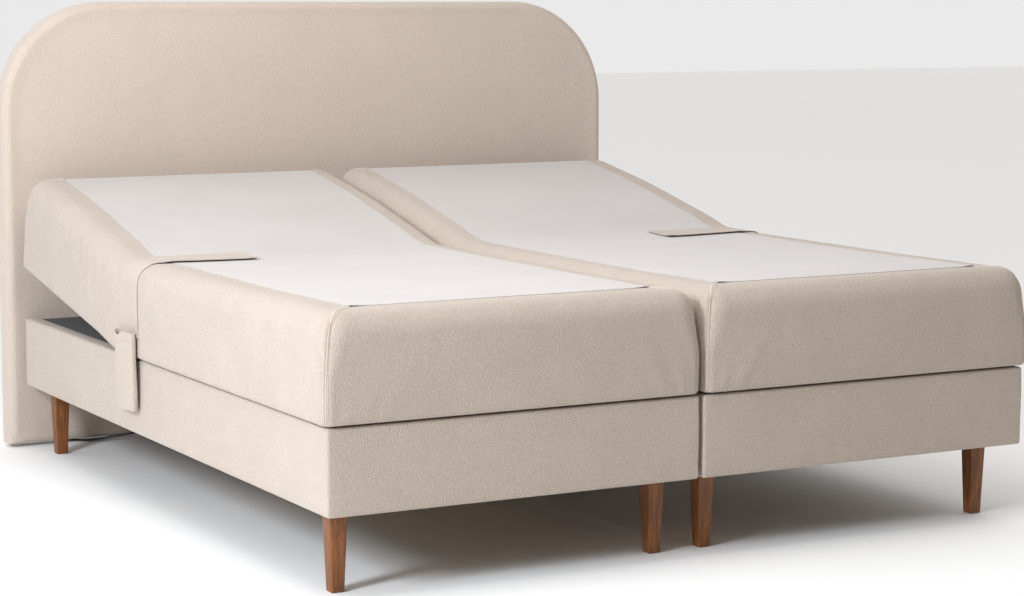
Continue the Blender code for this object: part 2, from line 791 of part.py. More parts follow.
def make_headboard():
    """A board with a padded, fabric-covered front that wraps its edges."""
    y0 = HEAD_Y + HEADBOARD_GAP
    y1 = y0 + HEADBOARD_THICK
    steps = 12
    shell = panel("headboard_upholstery", arch(0, steps), y0, y1, UPHOLSTERY)
    bm = bmesh.new()
    bm.from_mesh(shell.data)
    front = [
        edge
        for edge in bm.edges
        if all(vert.co.y < y0 + 0.001 for vert in edge.verts) and len(edge.link_faces) == 2
    ]
    bmesh.ops.bevel(
        bm, geom=front, offset=BOARD_ROUND, segments=3, profile=0.5, affect="EDGES"
    )
    bm.to_mesh(shell.data)
    bm.free()
    hollow = panel("hollow", arch(PANEL_INSET, steps), y1 - PANEL_THICK - GAP, y1 + 0.1, None)
    combine(shell, [hollow], "DIFFERENCE")
    panel(
        "headboard_panel",
        arch(PANEL_INSET + GAP, steps),
        y1 - PANEL_THICK,
        y1 - 0.001,
        PLYWOOD,
    )


def make_joiners():
    """The steel rail behind the boxes that carries the headboard, and the foot-end strap."""
    y0 = HEAD_Y + GAP
    y1 = HEAD_Y + HEADBOARD_GAP - GAP
    wall = 0.003
    z0 = 0.235
    z1 = 0.280
    rail = box("headboard_rail", (-0.62, y0, z0), (0.62, y1, z1), STEEL)
    groove = box("groove", (-1, y0 + wall, z0 + wall), (1, y1 - wall, z1 + 1), None)
    combine(rail, [groove], "DIFFERENCE")
    holes = []
    for x in (-0.56, -0.2, 0.2, 0.56):
        middle = (z0 + z1) / 2
        start = (x, y0 - 0.1, middle)
        end = (x, y1 + 0.1, middle)
        holes.append(rod("hole", start, end, 0.004, None, sides=12))
    combine(rail, holes, "DIFFERENCE")

    z1 = BOX_BOTTOM - GAP
    y = FOOT_Y + 0.36
    corner = (-0.058, y - 0.015, z1 - 0.003)
    strap = box("unit_connector", corner, (0.058, y + 0.015, z1), STEEL)
    holes = []
    for x in (-0.044, 0.044):
        holes.append(rod("hole", (x, y, 0.1), (x, y, 0.2), 0.003, None, sides=12))
    combine(strap, holes, "DIFFERENCE")


# ---------------------------------------------------------------- cord
def smooth_route(points, spacing):
    """Points at an even spacing along a Catmull-Rom curve through the route's points."""
    ends = [2 * points[0] - points[1]] + points + [2 * points[-1] - points[-2]]
    fine = []
    steps = 24
    for k in range(1, len(ends) - 2):
        a, b, c, d = ends[k - 1 : k + 3]
        for step in range(steps):
            t = step / steps
            fine.append(
                0.5
                * (
                    2 * b
                    + (c - a) * t
                    + (2 * a - 5 * b + 4 * c - d) * t * t
                    + (3 * b - a - 3 * c + d) * t**3
                )
            )
    fine.append(points[-1])
    lengths = [0.0]
    for a, b in zip(fine, fine[1:]):
        lengths.append(lengths[-1] + (b - a).length)
    count = max(2, round(lengths[-1] / spacing))
    even = []
    at = 0
    for k in range(count + 1):
        goal = lengths[-1] * k / count
        while at < len(fine) - 2 and lengths[at + 1] < goal:
            at += 1
        span = lengths[at + 1] - lengths[at]
        even.append(fine[at].lerp(fine[at + 1], min(1.0, (goal - lengths[at]) / span)))
    return even


def make_cord():
    """The left unit's mains lead: relief, free run, coil behind the headboard, and plug."""
    x, y = RELIEF_AT
    y += FOOT_Y
    exit_z = BOX_BOTTOM + COVER - 0.020
    relief_top = BOX_BOTTOM + COVER + GAP / 2
    bm = bmesh.new()
    bmesh.ops.create_cone(
        bm, cap_ends=True, segments=16, radius1=0.0052, radius2=0.009, depth=relief_top - exit_z
    )
    middle = Matrix.Translation((x, y, (relief_top + exit_z) / 2))
    bmesh.ops.transform(bm, matrix=middle, verts=bm.verts[:])
    place("strain_relief", bm, BLACK_PLASTIC)

    on_floor = CORD / 2 + 0.0002
    route = [
        (x, y, exit_z - 2 * GAP),
        (x, y, exit_z - 0.030),
        (x - 0.012, y + 0.025, 0.092),
        (x - 0.045, y + 0.080, 0.060),
        (x - 0.085, y + 0.150, 0.044),
        (x - 0.130, y + 0.230, 0.034),
        (x - 0.180, y + 0.300, 0.0265),
        (x - 0.230, y + 0.335, 0.0175),
        (x - 0.270, y + 0.358, 0.0088),
        (x - 0.308, y + 0.386, on_floor + 0.0006),
        (x - 0.338, y + 0.423, on_floor),
        (x - 0.350, y + 0.453, on_floor),
        (COIL_CENTRE[0] - OUTER_TURN, FOOT_Y + COIL_CENTRE[1] - COIL_CLEAR, on_floor),
    ]
    points = smooth_route([Vector(point) for point in route], CORD * 2.6)
    curve = bpy.data.curves.new("mains_cord", "CURVE")
    curve.dimensions = "3D"
    curve.bevel_depth = CORD / 2
    curve.bevel_resolution = 2
    curve.use_fill_caps = True
    spline = curve.splines.new("POLY")
    spline.points.add(len(points) - 1)
    for knot, point in zip(spline.points, points):
        knot.co = (*point, 1.0)
    cord = bpy.data.objects.new("mains_cord", curve)
    cord.data.materials.append(BLACK_PLASTIC)
    bpy.context.collection.objects.link(cord)

    centre = (COIL_CENTRE[0], FOOT_Y + COIL_CENTRE[1])
    width, height = COIL_SECTION
    bm = bmesh.new()
    around = 28
    rings = []
    for k in range(around):
        a = 2 * math.pi * k / around
        ring = []
        for out, z in ((-1, 0.0), (1, 0.0), (1, 1.0), (-1, 1.0)):
            r = COIL_RADIUS + out * width / 2
            point = (centre[0] + r * math.cos(a), centre[1] + r * math.sin(a), 0.0003 + z * height)
            ring.append(bm.verts.new(point))
        rings.append(ring)
    for k in range(around):
        ring = rings[k]
        after = rings[(k + 1) % around]
        for j in range(4):
            bm.faces.new((ring[j], after[j], after[(j + 1) % 4], ring[(j + 1) % 4]))
    place("cord_coil", bm, BLACK_PLASTIC)


def make_plug():
    """A moulded two-pin plug at the end of the coil's last turn."""
    tail = 0.024
    y = FOOT_Y + COIL_CENTRE[1] + OUTER_TURN
    x = COIL_CENTRE[0] + COIL_CLEAR + tail
    radius = 0.0185
    z = radius + GAP
    body = rod("mains_plug", (x, y, z), (x + 0.036, y, z), radius, BLACK_PLASTIC, sides=20)
    parts = []
    parts.append(rod("tail", (x - tail, y, z), (x + 0.004, y, z), 0.0055, None, sides=12))
    for way in (-1, 1):
        at = y + way * 0.0095
        parts.append(rod("pin", (x + 0.03, at, z), (x + 0.055, at, z), 0.0024, None, sides=10))
    combine(body, parts, "UNION")


# ---------------------------------------------------------------- assembly
for unit_name, unit_side in (("left", -1), ("right", 1)):
    make_box_frame(unit_name, unit_side)
    make_box_cover(unit_name, unit_side)
    make_deck(unit_name, unit_side)
    make_legs(unit_name, unit_side)
    make_mechanism(unit_name, unit_side)
    make_sections(unit_name, unit_side)
    make_strap(unit_name, unit_side)
make_headboard()
make_joiners()
make_cord()
make_plug()
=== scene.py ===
"""Double adjustable bed base: the finished looks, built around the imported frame."""

import math

import bpy
import numpy as np
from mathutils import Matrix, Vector


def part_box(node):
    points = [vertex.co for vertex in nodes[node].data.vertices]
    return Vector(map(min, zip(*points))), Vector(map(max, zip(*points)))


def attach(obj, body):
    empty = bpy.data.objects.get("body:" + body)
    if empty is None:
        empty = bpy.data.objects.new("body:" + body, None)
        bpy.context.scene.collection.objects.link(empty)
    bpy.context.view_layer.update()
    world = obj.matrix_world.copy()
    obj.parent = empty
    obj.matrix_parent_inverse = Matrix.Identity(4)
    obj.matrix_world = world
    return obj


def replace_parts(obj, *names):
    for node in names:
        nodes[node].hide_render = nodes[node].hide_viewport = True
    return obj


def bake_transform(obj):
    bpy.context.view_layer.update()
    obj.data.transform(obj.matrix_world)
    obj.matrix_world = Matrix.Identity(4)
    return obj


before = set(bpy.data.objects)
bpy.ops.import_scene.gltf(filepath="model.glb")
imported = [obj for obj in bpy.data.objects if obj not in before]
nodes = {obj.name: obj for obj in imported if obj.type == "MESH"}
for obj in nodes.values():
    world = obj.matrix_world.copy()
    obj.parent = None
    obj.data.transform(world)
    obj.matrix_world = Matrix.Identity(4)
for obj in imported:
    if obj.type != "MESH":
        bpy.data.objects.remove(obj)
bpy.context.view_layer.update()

# ---------------------------------------------------------------- studio
# A pale seamless floor under the bed, a bright soft surround and one large soft box
# from the left. The left sides and the tops are lit, the foot faces stay in soft shade.
FLOOR_SIZE = 60.0
CAMERA_PLACE = (-2.9191, -5.5536, 1.226)
CAMERA_YAW = 28.50
CAMERA_DOWN = 6.90
CAMERA_LENS = 86.8
SHARP_EDGE = 62

camera_data = bpy.data.cameras.new("studio_camera")
camera_data.lens = CAMERA_LENS
camera_data.sensor_width = 36.0
camera_data.clip_end = 200.0
camera = bpy.data.objects.new("studio_camera", camera_data)
camera.location = CAMERA_PLACE
camera.rotation_euler = (
    math.radians(90 - CAMERA_DOWN),
    0,
    math.radians(-CAMERA_YAW),
)
bpy.context.scene.collection.objects.link(camera)
bpy.context.scene.camera = camera

surround = bpy.data.worlds.new("studio_surround")
bpy.context.scene.world = surround
surround.use_nodes = True
surround_light = surround.node_tree.nodes["Background"]
surround_light.inputs["Strength"].default_value = 1.0
bpy.context.scene.view_settings.view_transform = "Standard"


def soft_box(name, place, aim, size, power, colour):
    """A large soft light at a place, turned to its aim."""
    data = bpy.data.lights.new(name, "AREA")
    data.shape = "RECTANGLE"
    data.size, data.size_y = size
    data.energy = power
    data.color = colour
    light = bpy.data.objects.new(name, data)
    light.location = place
    light.rotation_euler = (Vector(aim) - Vector(place)).to_track_quat("-Z", "Y").to_euler()
    light.visible_camera = False
    bpy.context.scene.collection.objects.link(light)


soft_box("left_soft_box", (-4.0, -2.2, 2.2), (-0.9, 0.1, 0.4), (0.9, 1.1), 146, (0.91, 0.985, 1.07))
soft_box("head_soft_box", (-0.8, -1.0, 2.5), (0.0, 1.0, 0.8), (1.8, 1.0), 28, (1.0, 0.99, 0.97))
soft_box("foot_soft_box", (-1.9, -2.3, 1.2), (-0.4, -1.05, 0.4), (0.9, 0.9), 2.5, (1.0, 0.97, 0.94))
overhead_data = bpy.data.lights.new("overhead_soft_light", "SUN")
overhead_data.energy = 0.32
overhead_data.angle = math.radians(80)
overhead = bpy.data.objects.new("overhead_soft_light", overhead_data)
bpy.context.scene.collection.objects.link(overhead)


def new_material(name):
    """A new material, its node tree and its Principled shader."""
    material = bpy.data.materials.new(name)
    material.use_nodes = True
    tree = material.node_tree
    return material, tree, tree.nodes["Principled BSDF"]


def new_effect(name, **inputs):
    """A shader node group with the given inputs, giving a colour, a height and a roughness."""
    group = bpy.data.node_groups.new(name, "ShaderNodeTree")
    for label, value in inputs.items():
        if isinstance(value, float):
            kind = "NodeSocketFloat"
        else:
            kind = "NodeSocketColor" if len(value) == 4 else "NodeSocketVector"
        socket = group.interface.new_socket(label, in_out="INPUT", socket_type=kind)
        socket.default_value = value
    outputs = {"Color": "NodeSocketColor", "Height": "NodeSocketFloat", "Roughness": "NodeSocketFloat"}
    for label, kind in outputs.items():
        group.interface.new_socket(label, in_out="OUTPUT", socket_type=kind)
    return group, group.nodes.new("NodeGroupInput").outputs, group.nodes.new("NodeGroupOutput").inputs


def feed(tree, inputs, **values):
    """Gives inputs their values or links, by name or as i0, i1 by number."""
    for key, value in values.items():
        number = key[1:] if key[0] == "i" else ""
        socket = inputs[int(number)] if number.isdigit() else inputs[key.replace("_", " ")]
        if isinstance(value, bpy.types.NodeSocket):
            tree.links.new(value, socket)
        else:
            socket.default_value = value


def add_node(tree, kind, settings=None, **inputs):
    """One shader node with its settings and its inputs."""
    node = tree.nodes.new(kind)
    for key, value in (settings or {}).items():
        setattr(node, key, value)
    feed(tree, node.inputs, **inputs)
    return node


def maths(tree, operation, first, second=0.5, third=0.5):
    """The output of one Math node."""
    node = add_node(tree, "ShaderNodeMath", {"operation": operation}, i0=first, i1=second, i2=third)
    return node.outputs[0]


def vector_maths(tree, operation, first, **second):
    """The output of one Vector Math node."""
    return add_node(tree, "ShaderNodeVectorMath", {"operation": operation}, i0=first, **second).outputs[0]


def mapped(tree, value, low, high, to_low=0.0, to_high=1.0, steps="LINEAR"):
    """A value's range from low to high, mapped to another range."""
    settings = {"interpolation_type": steps}
    node = add_node(tree, "ShaderNodeMapRange", settings, i0=value, i1=low, i2=high, i3=to_low, i4=to_high)
    return node.outputs[0]


def noise(tree, **inputs):
    """The value of a noise texture."""
    return add_node(tree, "ShaderNodeTexNoise", **inputs).outputs[0]


def object_place(tree):
    """The place on the object that is shaded."""
    return add_node(tree, "ShaderNodeTexCoord").outputs["Object"]


def colour_ramp(tree, factor, *stops):
    """The colour of a ramp with the given (place, colour) stops."""
    node = add_node(tree, "ShaderNodeValToRGB", i0=factor)
    ramp = node.color_ramp
    while len(ramp.elements) < len(stops):
        ramp.elements.new(0.5)
    for element, (place, colour) in zip(ramp.elements, stops):
        element.position = place
        element.color = (*colour, 1)
    return node.outputs[0]


around = surround.node_tree
direction = add_node(around, "ShaderNodeTexCoord").outputs["Generated"]
way = add_node(around, "ShaderNodeSeparateXYZ", i0=direction)
to_head = mapped(around, way.outputs["Y"], -0.5, 0.2)
backdrop = colour_ramp(around, to_head, (0.0, (0.22, 0.200, 0.175)), (1.0, (1.0, 1.0, 1.0)))
near_floor = mapped(around, way.outputs["Z"], 0.0, 0.14, 0.82, 1.0)
backdrop = vector_maths(around, "SCALE", backdrop, Scale=near_floor)
around.links.new(backdrop, surround_light.inputs["Color"])


def bumped(tree, shader, height, strength, distance):
    """Feeds a height through a bump to the shader's normal."""
    bump = add_node(tree, "ShaderNodeBump", Strength=strength, Distance=distance, Height=height)
    tree.links.new(bump.outputs[0], shader.inputs["Normal"])


def speckled(name, scale, detail, low, high, roughness, metallic=0.0, bump=None):
    """A finish between the two (place, colour) stops of a noise, with or without a bump."""
    material, tree, shader = new_material(name)
    specks = noise(tree, Scale=scale, Detail=detail)
    colour = colour_ramp(tree, specks, low, high)
    feed(tree, shader.inputs, Base_Color=colour, Roughness=roughness, Metallic=metallic)
    if bump:
        bumped(tree, shader, specks, *bump)
    return material


def mesh_piece(name, points, faces, material):
    """A new mesh object of the given points and faces, smooth but for its sharp edges."""
    mesh = bpy.data.meshes.new(name)
    mesh.from_pydata([tuple(map(float, p)) for p in points], [], [tuple(map(int, f)) for f in faces])
    mesh.validate()
    mesh.materials.append(material)
    mesh.shade_smooth()
    mesh.set_sharp_from_angle(angle=math.radians(SHARP_EDGE))
    piece = bpy.data.objects.new(name, mesh)
    bpy.context.scene.collection.objects.link(piece)
    return piece


floor_material = speckled("pale_floor", 2.0, 3.0, (0.3, (0.93, 0.93, 0.93)), (0.7, (0.95, 0.95, 0.95)), 0.8)
half_floor = FLOOR_SIZE / 2
floor_corners = [(x * half_floor, y * half_floor, 0) for x, y in ((-1, -1), (1, -1), (1, 1), (-1, 1))]
mesh_piece("studio_floor", floor_corners, [(0, 1, 2, 3)], floor_material)

# ---------------------------------------------------------------- mains lead
# One black round PVC lead, 6.2 mm thick, from a tapered relief under the left unit's rear
# cross member. It lies on the floor under the headboard, and its spare length is a coil
# with its plug close behind.
LEAD_THICK = 0.0062
LEAD_EXIT = (-0.42, 0.6085, 0.1594)
LEAD_ON_FLOOR = LEAD_THICK / 2 + 0.0002
COIL_CENTRE = (-0.730, 1.1135)
COIL_MIDDLE = 0.0340
COIL_PITCH = 0.0066
COIL_ENTRY = 0.0429
TURNS_PER_LAYER = 3
COIL_TURNS = 7.25
POINTS_PER_TURN = 20
PLUG_TAIL = (-0.7011, 1.1564, 0.0188)
TIE_HALF_WIDE, TIE_HALF_HIGH, TIE_HALF_LONG = 0.0104, 0.0102, 0.006
TIE_MIDDLE, TIE_THICK = 0.0111, 0.0009
RIB_STEP = 0.0042
PIN_APART = 0.0095


def smooth_step(value, low=0.0, high=1.0):
    """0 below low, 1 above high, and a smooth rise between them."""
    t = np.clip((np.asarray(value, float) - low) / (high - low), 0, 1)
    return t * t * (3 - 2 * t)


def even_line(points, count):
    """A smooth line through the points, cut in equal steps."""
    knots = np.array(points, float)
    ends = np.vstack([2 * knots[0] - knots[1], knots, 2 * knots[-1] - knots[-2]])
    dense = []
    steps = np.linspace(0, 1, 24, endpoint=False)
    for a, b, c, d in zip(ends, ends[1:], ends[2:], ends[3:]):
        for t in steps:
            square, cube = 2 * a - 5 * b + 4 * c - d, 3 * b - a - 3 * c + d
            dense.append(0.5 * (2 * b + (c - a) * t + square * t**2 + cube * t**3))
    dense = np.array(dense + [knots[-1]])
    run = np.concatenate([[0], np.cumsum(np.linalg.norm(np.diff(dense, axis=0), axis=1))])
    even = np.linspace(0, run[-1], count)
    return np.stack([np.interp(even, run, dense[:, k]) for k in range(3)], axis=1)


def lead_route():
    """The free run from the relief to the coil's left side, as in the part."""
    x, y, top = LEAD_EXIT
    floor = LEAD_ON_FLOOR
    return [
        (x, y, top),
        (x, y, 0.130),
        (x - 0.012, y + 0.025, 0.092),
        (x - 0.045, y + 0.080, 0.060),
        (x - 0.085, y + 0.150, 0.044),
        (x - 0.130, y + 0.230, 0.034),
        (x - 0.180, y + 0.300, 0.0265),
        (x - 0.230, y + 0.335, 0.0175),
        (x - 0.270, y + 0.358, 0.0088),
        (x - 0.308, y + 0.386, floor + 0.0006),
        (x - 0.338, y + 0.423, floor),
        (x - 0.350, y + 0.453, floor),
        (COIL_CENTRE[0] - COIL_ENTRY, COIL_CENTRE[1] - 0.0289, floor),
    ]


def coil_route():
    """The spare turns, wound in three layers, clockwise from above, ending at the plug."""
    rings = [COIL_MIDDLE + COIL_PITCH * k for k in (1, 0, -1)]
    order = rings + rings[::-1] + rings
    points = []
    total = int(COIL_TURNS * POINTS_PER_TURN)
    for step in range(total + 1):
        turn = step / POINTS_PER_TURN
        whole = min(int(turn), int(COIL_TURNS))
        part = smooth_step(turn - whole, 0.78, 1.0)
        radius = order[whole] + (order[min(whole + 1, len(order) - 1)] - order[whole]) * part
        layer = whole // TURNS_PER_LAYER
        next_layer = (whole + 1) // TURNS_PER_LAYER
        height = LEAD_ON_FLOOR + COIL_PITCH * 0.97 * (layer + (next_layer - layer) * part)
        entering = 1 - smooth_step(turn, 0.0, 0.12)
        radius += (COIL_ENTRY - rings[0]) * entering
        leaving = smooth_step(turn, COIL_TURNS - 0.16, COIL_TURNS)
        radius += (PLUG_TAIL[1] - COIL_CENTRE[1] - radius) * leaving
        height += (PLUG_TAIL[2] - height) * leaving
        angle = math.pi - 2 * math.pi * turn
        x = COIL_CENTRE[0] + radius * math.cos(angle)
        points.append((x, COIL_CENTRE[1] + radius * math.sin(angle), height))
    return points


free_run = even_line(lead_route(), 34)
tail_x, tail_y, tail_z = PLUG_TAIL
plug_end = [(tail_x - 0.012, tail_y, tail_z), (tail_x + 0.008, tail_y, tail_z)]
lead_points = np.vstack([free_run, coil_route(), plug_end])
lead_curve = bpy.data.curves.new("mains_lead", "CURVE")
lead_curve.dimensions = "3D"
lead_curve.resolution_u = 3
lead_curve.bevel_depth = LEAD_THICK / 2
lead_curve.bevel_resolution = 4
lead_curve.use_fill_caps = True
lead_line = lead_curve.splines.new("BEZIER")
lead_line.bezier_points.add(len(lead_points) - 1)
for bezier, place in zip(lead_line.bezier_points, lead_points):
    bezier.co = place
    bezier.handle_left_type = bezier.handle_right_type = "AUTO"
mains_lead = bpy.data.objects.new("mains_lead", lead_curve)
bpy.context.scene.collection.objects.link(mains_lead)

black_low, black_high = (0.35, (0.012, 0.012, 0.013)), (0.7, (0.022, 0.022, 0.024))
lead_rubber = speckled("lead_black_pvc", 180.0, 4.0, black_low, black_high, 0.42, 0.0, (0.15, 0.0004))
lead_curve.materials.append(lead_rubber)


def ring_faces(rings, around):
    """The quads between rings that have the same count of points."""
    faces = []
    for row in range(rings - 1):
        here, there = row * around, (row + 1) * around
        for k in range(around):
            n = (k + 1) % around
            faces.append((here + k, here + n, there + n, there + k))
    return faces


def closed_rings(rings, around):
    """The quads between rings, and a face over the first ring and the last."""
    last = (rings - 1) * around
    ends = [tuple(range(around))[::-1], tuple(range(last, last + around))]
    return ring_faces(rings, around) + ends


def looped_faces(rows, columns):
    """The quads of a grid of points that closes on itself both ways."""
    faces = []
    for r in range(rows):
        here, there = r * columns, (r + 1) % rows * columns
        for c in range(columns):
            n = (c + 1) % columns
            faces.append((here + c, there + c, there + n, here + n))
    return faces


def turned(name, profile, material, start, direction, sides=40):
    """A piece turned on a lathe: (distance along, radius) stations from start along direction."""
    axis = Vector(direction).normalized()
    across = axis.orthogonal().normalized()
    other = axis.cross(across)
    points = []
    for along, radius in profile:
        middle = Vector(start) + axis * along
        for k in range(sides):
            a = 2 * math.pi * k / sides
            points.append(middle + (across * math.cos(a) + other * math.sin(a)) * max(radius, 1e-5))
    return mesh_piece(name, points, closed_rings(len(profile), sides), material)


plug_stations = [(-0.0002, 0.0036), (0.0006, 0.0050)]
for rib in range(5):
    start = 0.002 + rib * RIB_STEP
    plug_stations += [(start, 0.0052), (start + 0.0004, 0.0058)]
    plug_stations += [(start + 0.0024, 0.0058), (start + 0.0028, 0.0051)]
plug_stations += [
    (0.0240, 0.0058), (0.0262, 0.0112), (0.0290, 0.0160), (0.0320, 0.0180), (0.0350, 0.0185),
    (0.0400, 0.0185), (0.0404, 0.0179), (0.0424, 0.0179), (0.0428, 0.0185), (0.0500, 0.0185),
    (0.0560, 0.0184), (0.0592, 0.0180), (0.0600, 0.0172),
]
plug_body = turned("mains_plug_body", plug_stations, lead_rubber, PLUG_TAIL, (1, 0, 0))
pin_stations = [(0, 0.0024), (0.0168, 0.0024), (0.0182, 0.0020), (0.0188, 0.0011)]
nickel_low, nickel_high = (0.3, (0.62, 0.6, 0.56)), (0.7, (0.72, 0.7, 0.67))
pin_metal = speckled("plug_pin_nickel", 300.0, 2.0, nickel_low, nickel_high, 0.28, 1.0)
for number, offset in ((1, -PIN_APART), (2, PIN_APART)):
    pin_root = (tail_x + 0.0595, tail_y + offset, tail_z)
    pin = turned(f"mains_plug_pin_{number}", pin_stations, pin_metal, pin_root, (1, 0, 0), 24)
    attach(pin, "root")

tie_low, tie_high = (0.3, (0.02, 0.02, 0.021)), (0.7, (0.05, 0.05, 0.052))
tie_material = speckled("tie_hook_and_loop", 900.0, 2.0, tie_low, tie_high, 0.9, 0.0, (0.6, 0.0008))


def coil_tie():
    """A narrow band closed round all the turns at the coil's right side."""
    middle_x = COIL_CENTRE[0] + COIL_MIDDLE
    angles = np.linspace(0, 2 * math.pi, 36, endpoint=False)
    points = []
    for side_y, grow in ((-1, 0.0), (1, 0.0), (1, TIE_THICK), (-1, TIE_THICK)):
        y = COIL_CENTRE[1] + side_y * TIE_HALF_LONG
        for a in angles:
            c, s = math.cos(a), math.sin(a)
            squared = (abs(c) ** 4 + abs(s) ** 4) ** 0.25
            x = middle_x + (TIE_HALF_WIDE + grow) * c / squared
            points.append((x, y, TIE_MIDDLE + (TIE_HALF_HIGH + grow) * s / squared))
    return mesh_piece("mains_lead_tie", points, looped_faces(4, len(angles)), tie_material)


lead_tie = coil_tie()
for piece in (mains_lead, plug_body, lead_tie):
    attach(piece, "root")
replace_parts(mains_lead, "mains_cord", "cord_coil")
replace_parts(plug_body, "mains_plug")

relief_stations = [(0.0, 0.0046)]
relief_low, relief_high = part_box("strain_relief")
relief_long = relief_high.z - relief_low.z
relief_wide = (relief_high.x - relief_low.x) / 2
for rib in range(4):
    start = (relief_long - 0.004) * rib / 4
    radius = 0.0048 + (relief_wide - 0.0050) * rib / 4
    relief_stations += [(start + 0.0004, radius), (start + 0.0028, radius + 0.0006)]
    relief_stations.append((start + 0.0032, radius - 0.0004))
relief_stations += [(relief_long - 0.0036, relief_wide), (relief_long, relief_wide)]
relief_start = (LEAD_EXIT[0], LEAD_EXIT[1], relief_low.z)
lead_relief = turned("mains_lead_relief", relief_stations, lead_rubber, relief_start, (0, 0, 1))
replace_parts(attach(lead_relief, "root"), "strain_relief")

# ---------------------------------------------------------------- legs
# Four square tapered legs under each unit, solid oak, oiled. Each has soft edges, an eased
# foot, and a threaded stud that goes up into the corner block.
UNITS = {"left": -1, "right": 1}
CORNERS = ((1, 1), (-1, 1), (-1, -1), (1, -1))
LEG_TOP, LEG_FOOT = 0.042, 0.030
LEG_HIGH, LEG_EDGE = 0.1768, 0.0035
STUD_RADIUS, STUD_PITCH = 0.0045, 0.0014

grain_effect, grain, surface = new_effect(
    "wood_grain", Light=(0.5, 0.3, 0.16, 1), Dark=(0.25, 0.12, 0.05, 1), Stretch=(60.0, 60.0, 5.0)
)
tree = grain_effect


def colour_between(tree, factor, first, second):
    """The colour at a factor between two colours."""
    return add_node(tree, "ShaderNodeMix", {"data_type": "RGBA"}, i0=factor, i6=first, i7=second).outputs[2]


stretched = vector_maths(tree, "MULTIPLY", object_place(tree), i1=grain["Stretch"])
streaks = noise(tree, Vector=stretched, Scale=1.6, Detail=6.0, Roughness=0.62, Distortion=0.6)
pores = noise(tree, Vector=stretched, Scale=9.0, Detail=3.0, Roughness=0.7)
mixed = maths(tree, "ADD", maths(tree, "MULTIPLY", streaks, 0.72), maths(tree, "MULTIPLY", pores, 0.28))
grain_colour = colour_between(tree, mapped(tree, mixed, 0.38, 0.62), grain["Dark"], grain["Light"])
grain_roughness = maths(tree, "MULTIPLY_ADD", pores, -0.3, 0.6)
feed(tree, surface, Color=grain_colour, Height=mixed, Roughness=grain_roughness)


def effect_material(name, effect, bump, depth, **values):
    """A material with the colour, roughness and bump of an effect."""
    material, tree, shader = new_material(name)
    made = add_node(tree, "ShaderNodeGroup", {"node_tree": effect}, **values).outputs
    feed(tree, shader.inputs, Base_Color=made["Color"], Roughness=made["Roughness"])
    bumped(tree, shader, made["Height"], bump, depth)
    return material, tree, shader


def wood(name, light, dark, stretch):
    """A wood finish from the grain effect."""
    colours = {"Light": (*light, 1), "Dark": (*dark, 1)}
    return effect_material(name, grain_effect, 0.25, 0.0008, Stretch=stretch, **colours)[0]


oiled_oak = wood("oiled_oak", (0.285, 0.097, 0.020), (0.105, 0.031, 0.006), (95.0, 95.0, 7.0))
zinc_low, zinc_high = (0.3, (0.52, 0.53, 0.54)), (0.7, (0.66, 0.66, 0.65))
stud_steel = speckled("stud_zinc_steel", 400.0, 3.0, zinc_low, zinc_high, 0.35, 1.0)


def tapered_leg(name, centre, low, high):
    """A square leg with rounded edges, from rings of a rounded square, and its threaded stud."""
    rises = [(0.0, -0.0022), (0.0009, -0.0008), (0.0026, 0.0)]
    rises += [(LEG_HIGH * k / 8, 0.0) for k in range(1, 8)] + [(LEG_HIGH - 0.001, 0.0), (LEG_HIGH, -0.0008)]
    points = []
    for rise, inset in rises:
        half = (LEG_FOOT + (LEG_TOP - LEG_FOOT) * rise / LEG_HIGH) / 2 + inset - LEG_EDGE
        for corner, (sx, sy) in enumerate(CORNERS):
            for step in range(5):
                a = math.radians(90 * corner + 90 * step / 4)
                x = centre[0] + sx * half + LEG_EDGE * math.cos(a)
                points.append((x, centre[1] + sy * half + LEG_EDGE * math.sin(a), low + rise))
    leg = mesh_piece(name, points, closed_rings(len(rises), 20), oiled_oak)
    stud_long = high - low - LEG_HIGH
    thread = [(0.0, STUD_RADIUS)]
    turn = 0.0
    while turn < stud_long - 0.004:
        thread += [(turn + 0.0007, STUD_RADIUS), (turn + 0.0013, STUD_RADIUS - 0.0006)]
        turn += STUD_PITCH
    thread.append((stud_long, STUD_RADIUS - 0.001))
    stud = turned(name + "_stud", thread, stud_steel, (centre[0], centre[1], low + LEG_HIGH), (0, 0, 1), 16)
    return leg, stud


for unit in UNITS:
    for spot in ("foot_outer", "foot_inner", "head_outer", "head_inner"):
        node = f"{unit}_leg_{spot}"
        low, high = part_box(node)
        leg, stud = tapered_leg(node + "_oak", ((low.x + high.x) / 2, (low.y + high.y) / 2), low.z, high.z)
        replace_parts(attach(leg, "root"), node)
        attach(stud, "root")

# ---------------------------------------------------------------- box covers
# Each box is wrapped in the same pebbled upholstery fabric as the rest: pulled over the
# frame, turned in over the top rim and stapled under the lower edge. It is sewn at its corners.
BOX_EDGE_ROUND = 0.0065
BOX_CORNER_ROUND = 0.007
BOX_RIM = 0.036
BOX_HEM = 0.020
BOX_SKIN = 0.0025
BOX_BELLY = 0.0006
BOX_RIPPLE = 0.0005
UPHOLSTERY_LIGHT, UPHOLSTERY_DARK = (0.590, 0.497, 0.422), (0.480, 0.400, 0.336)

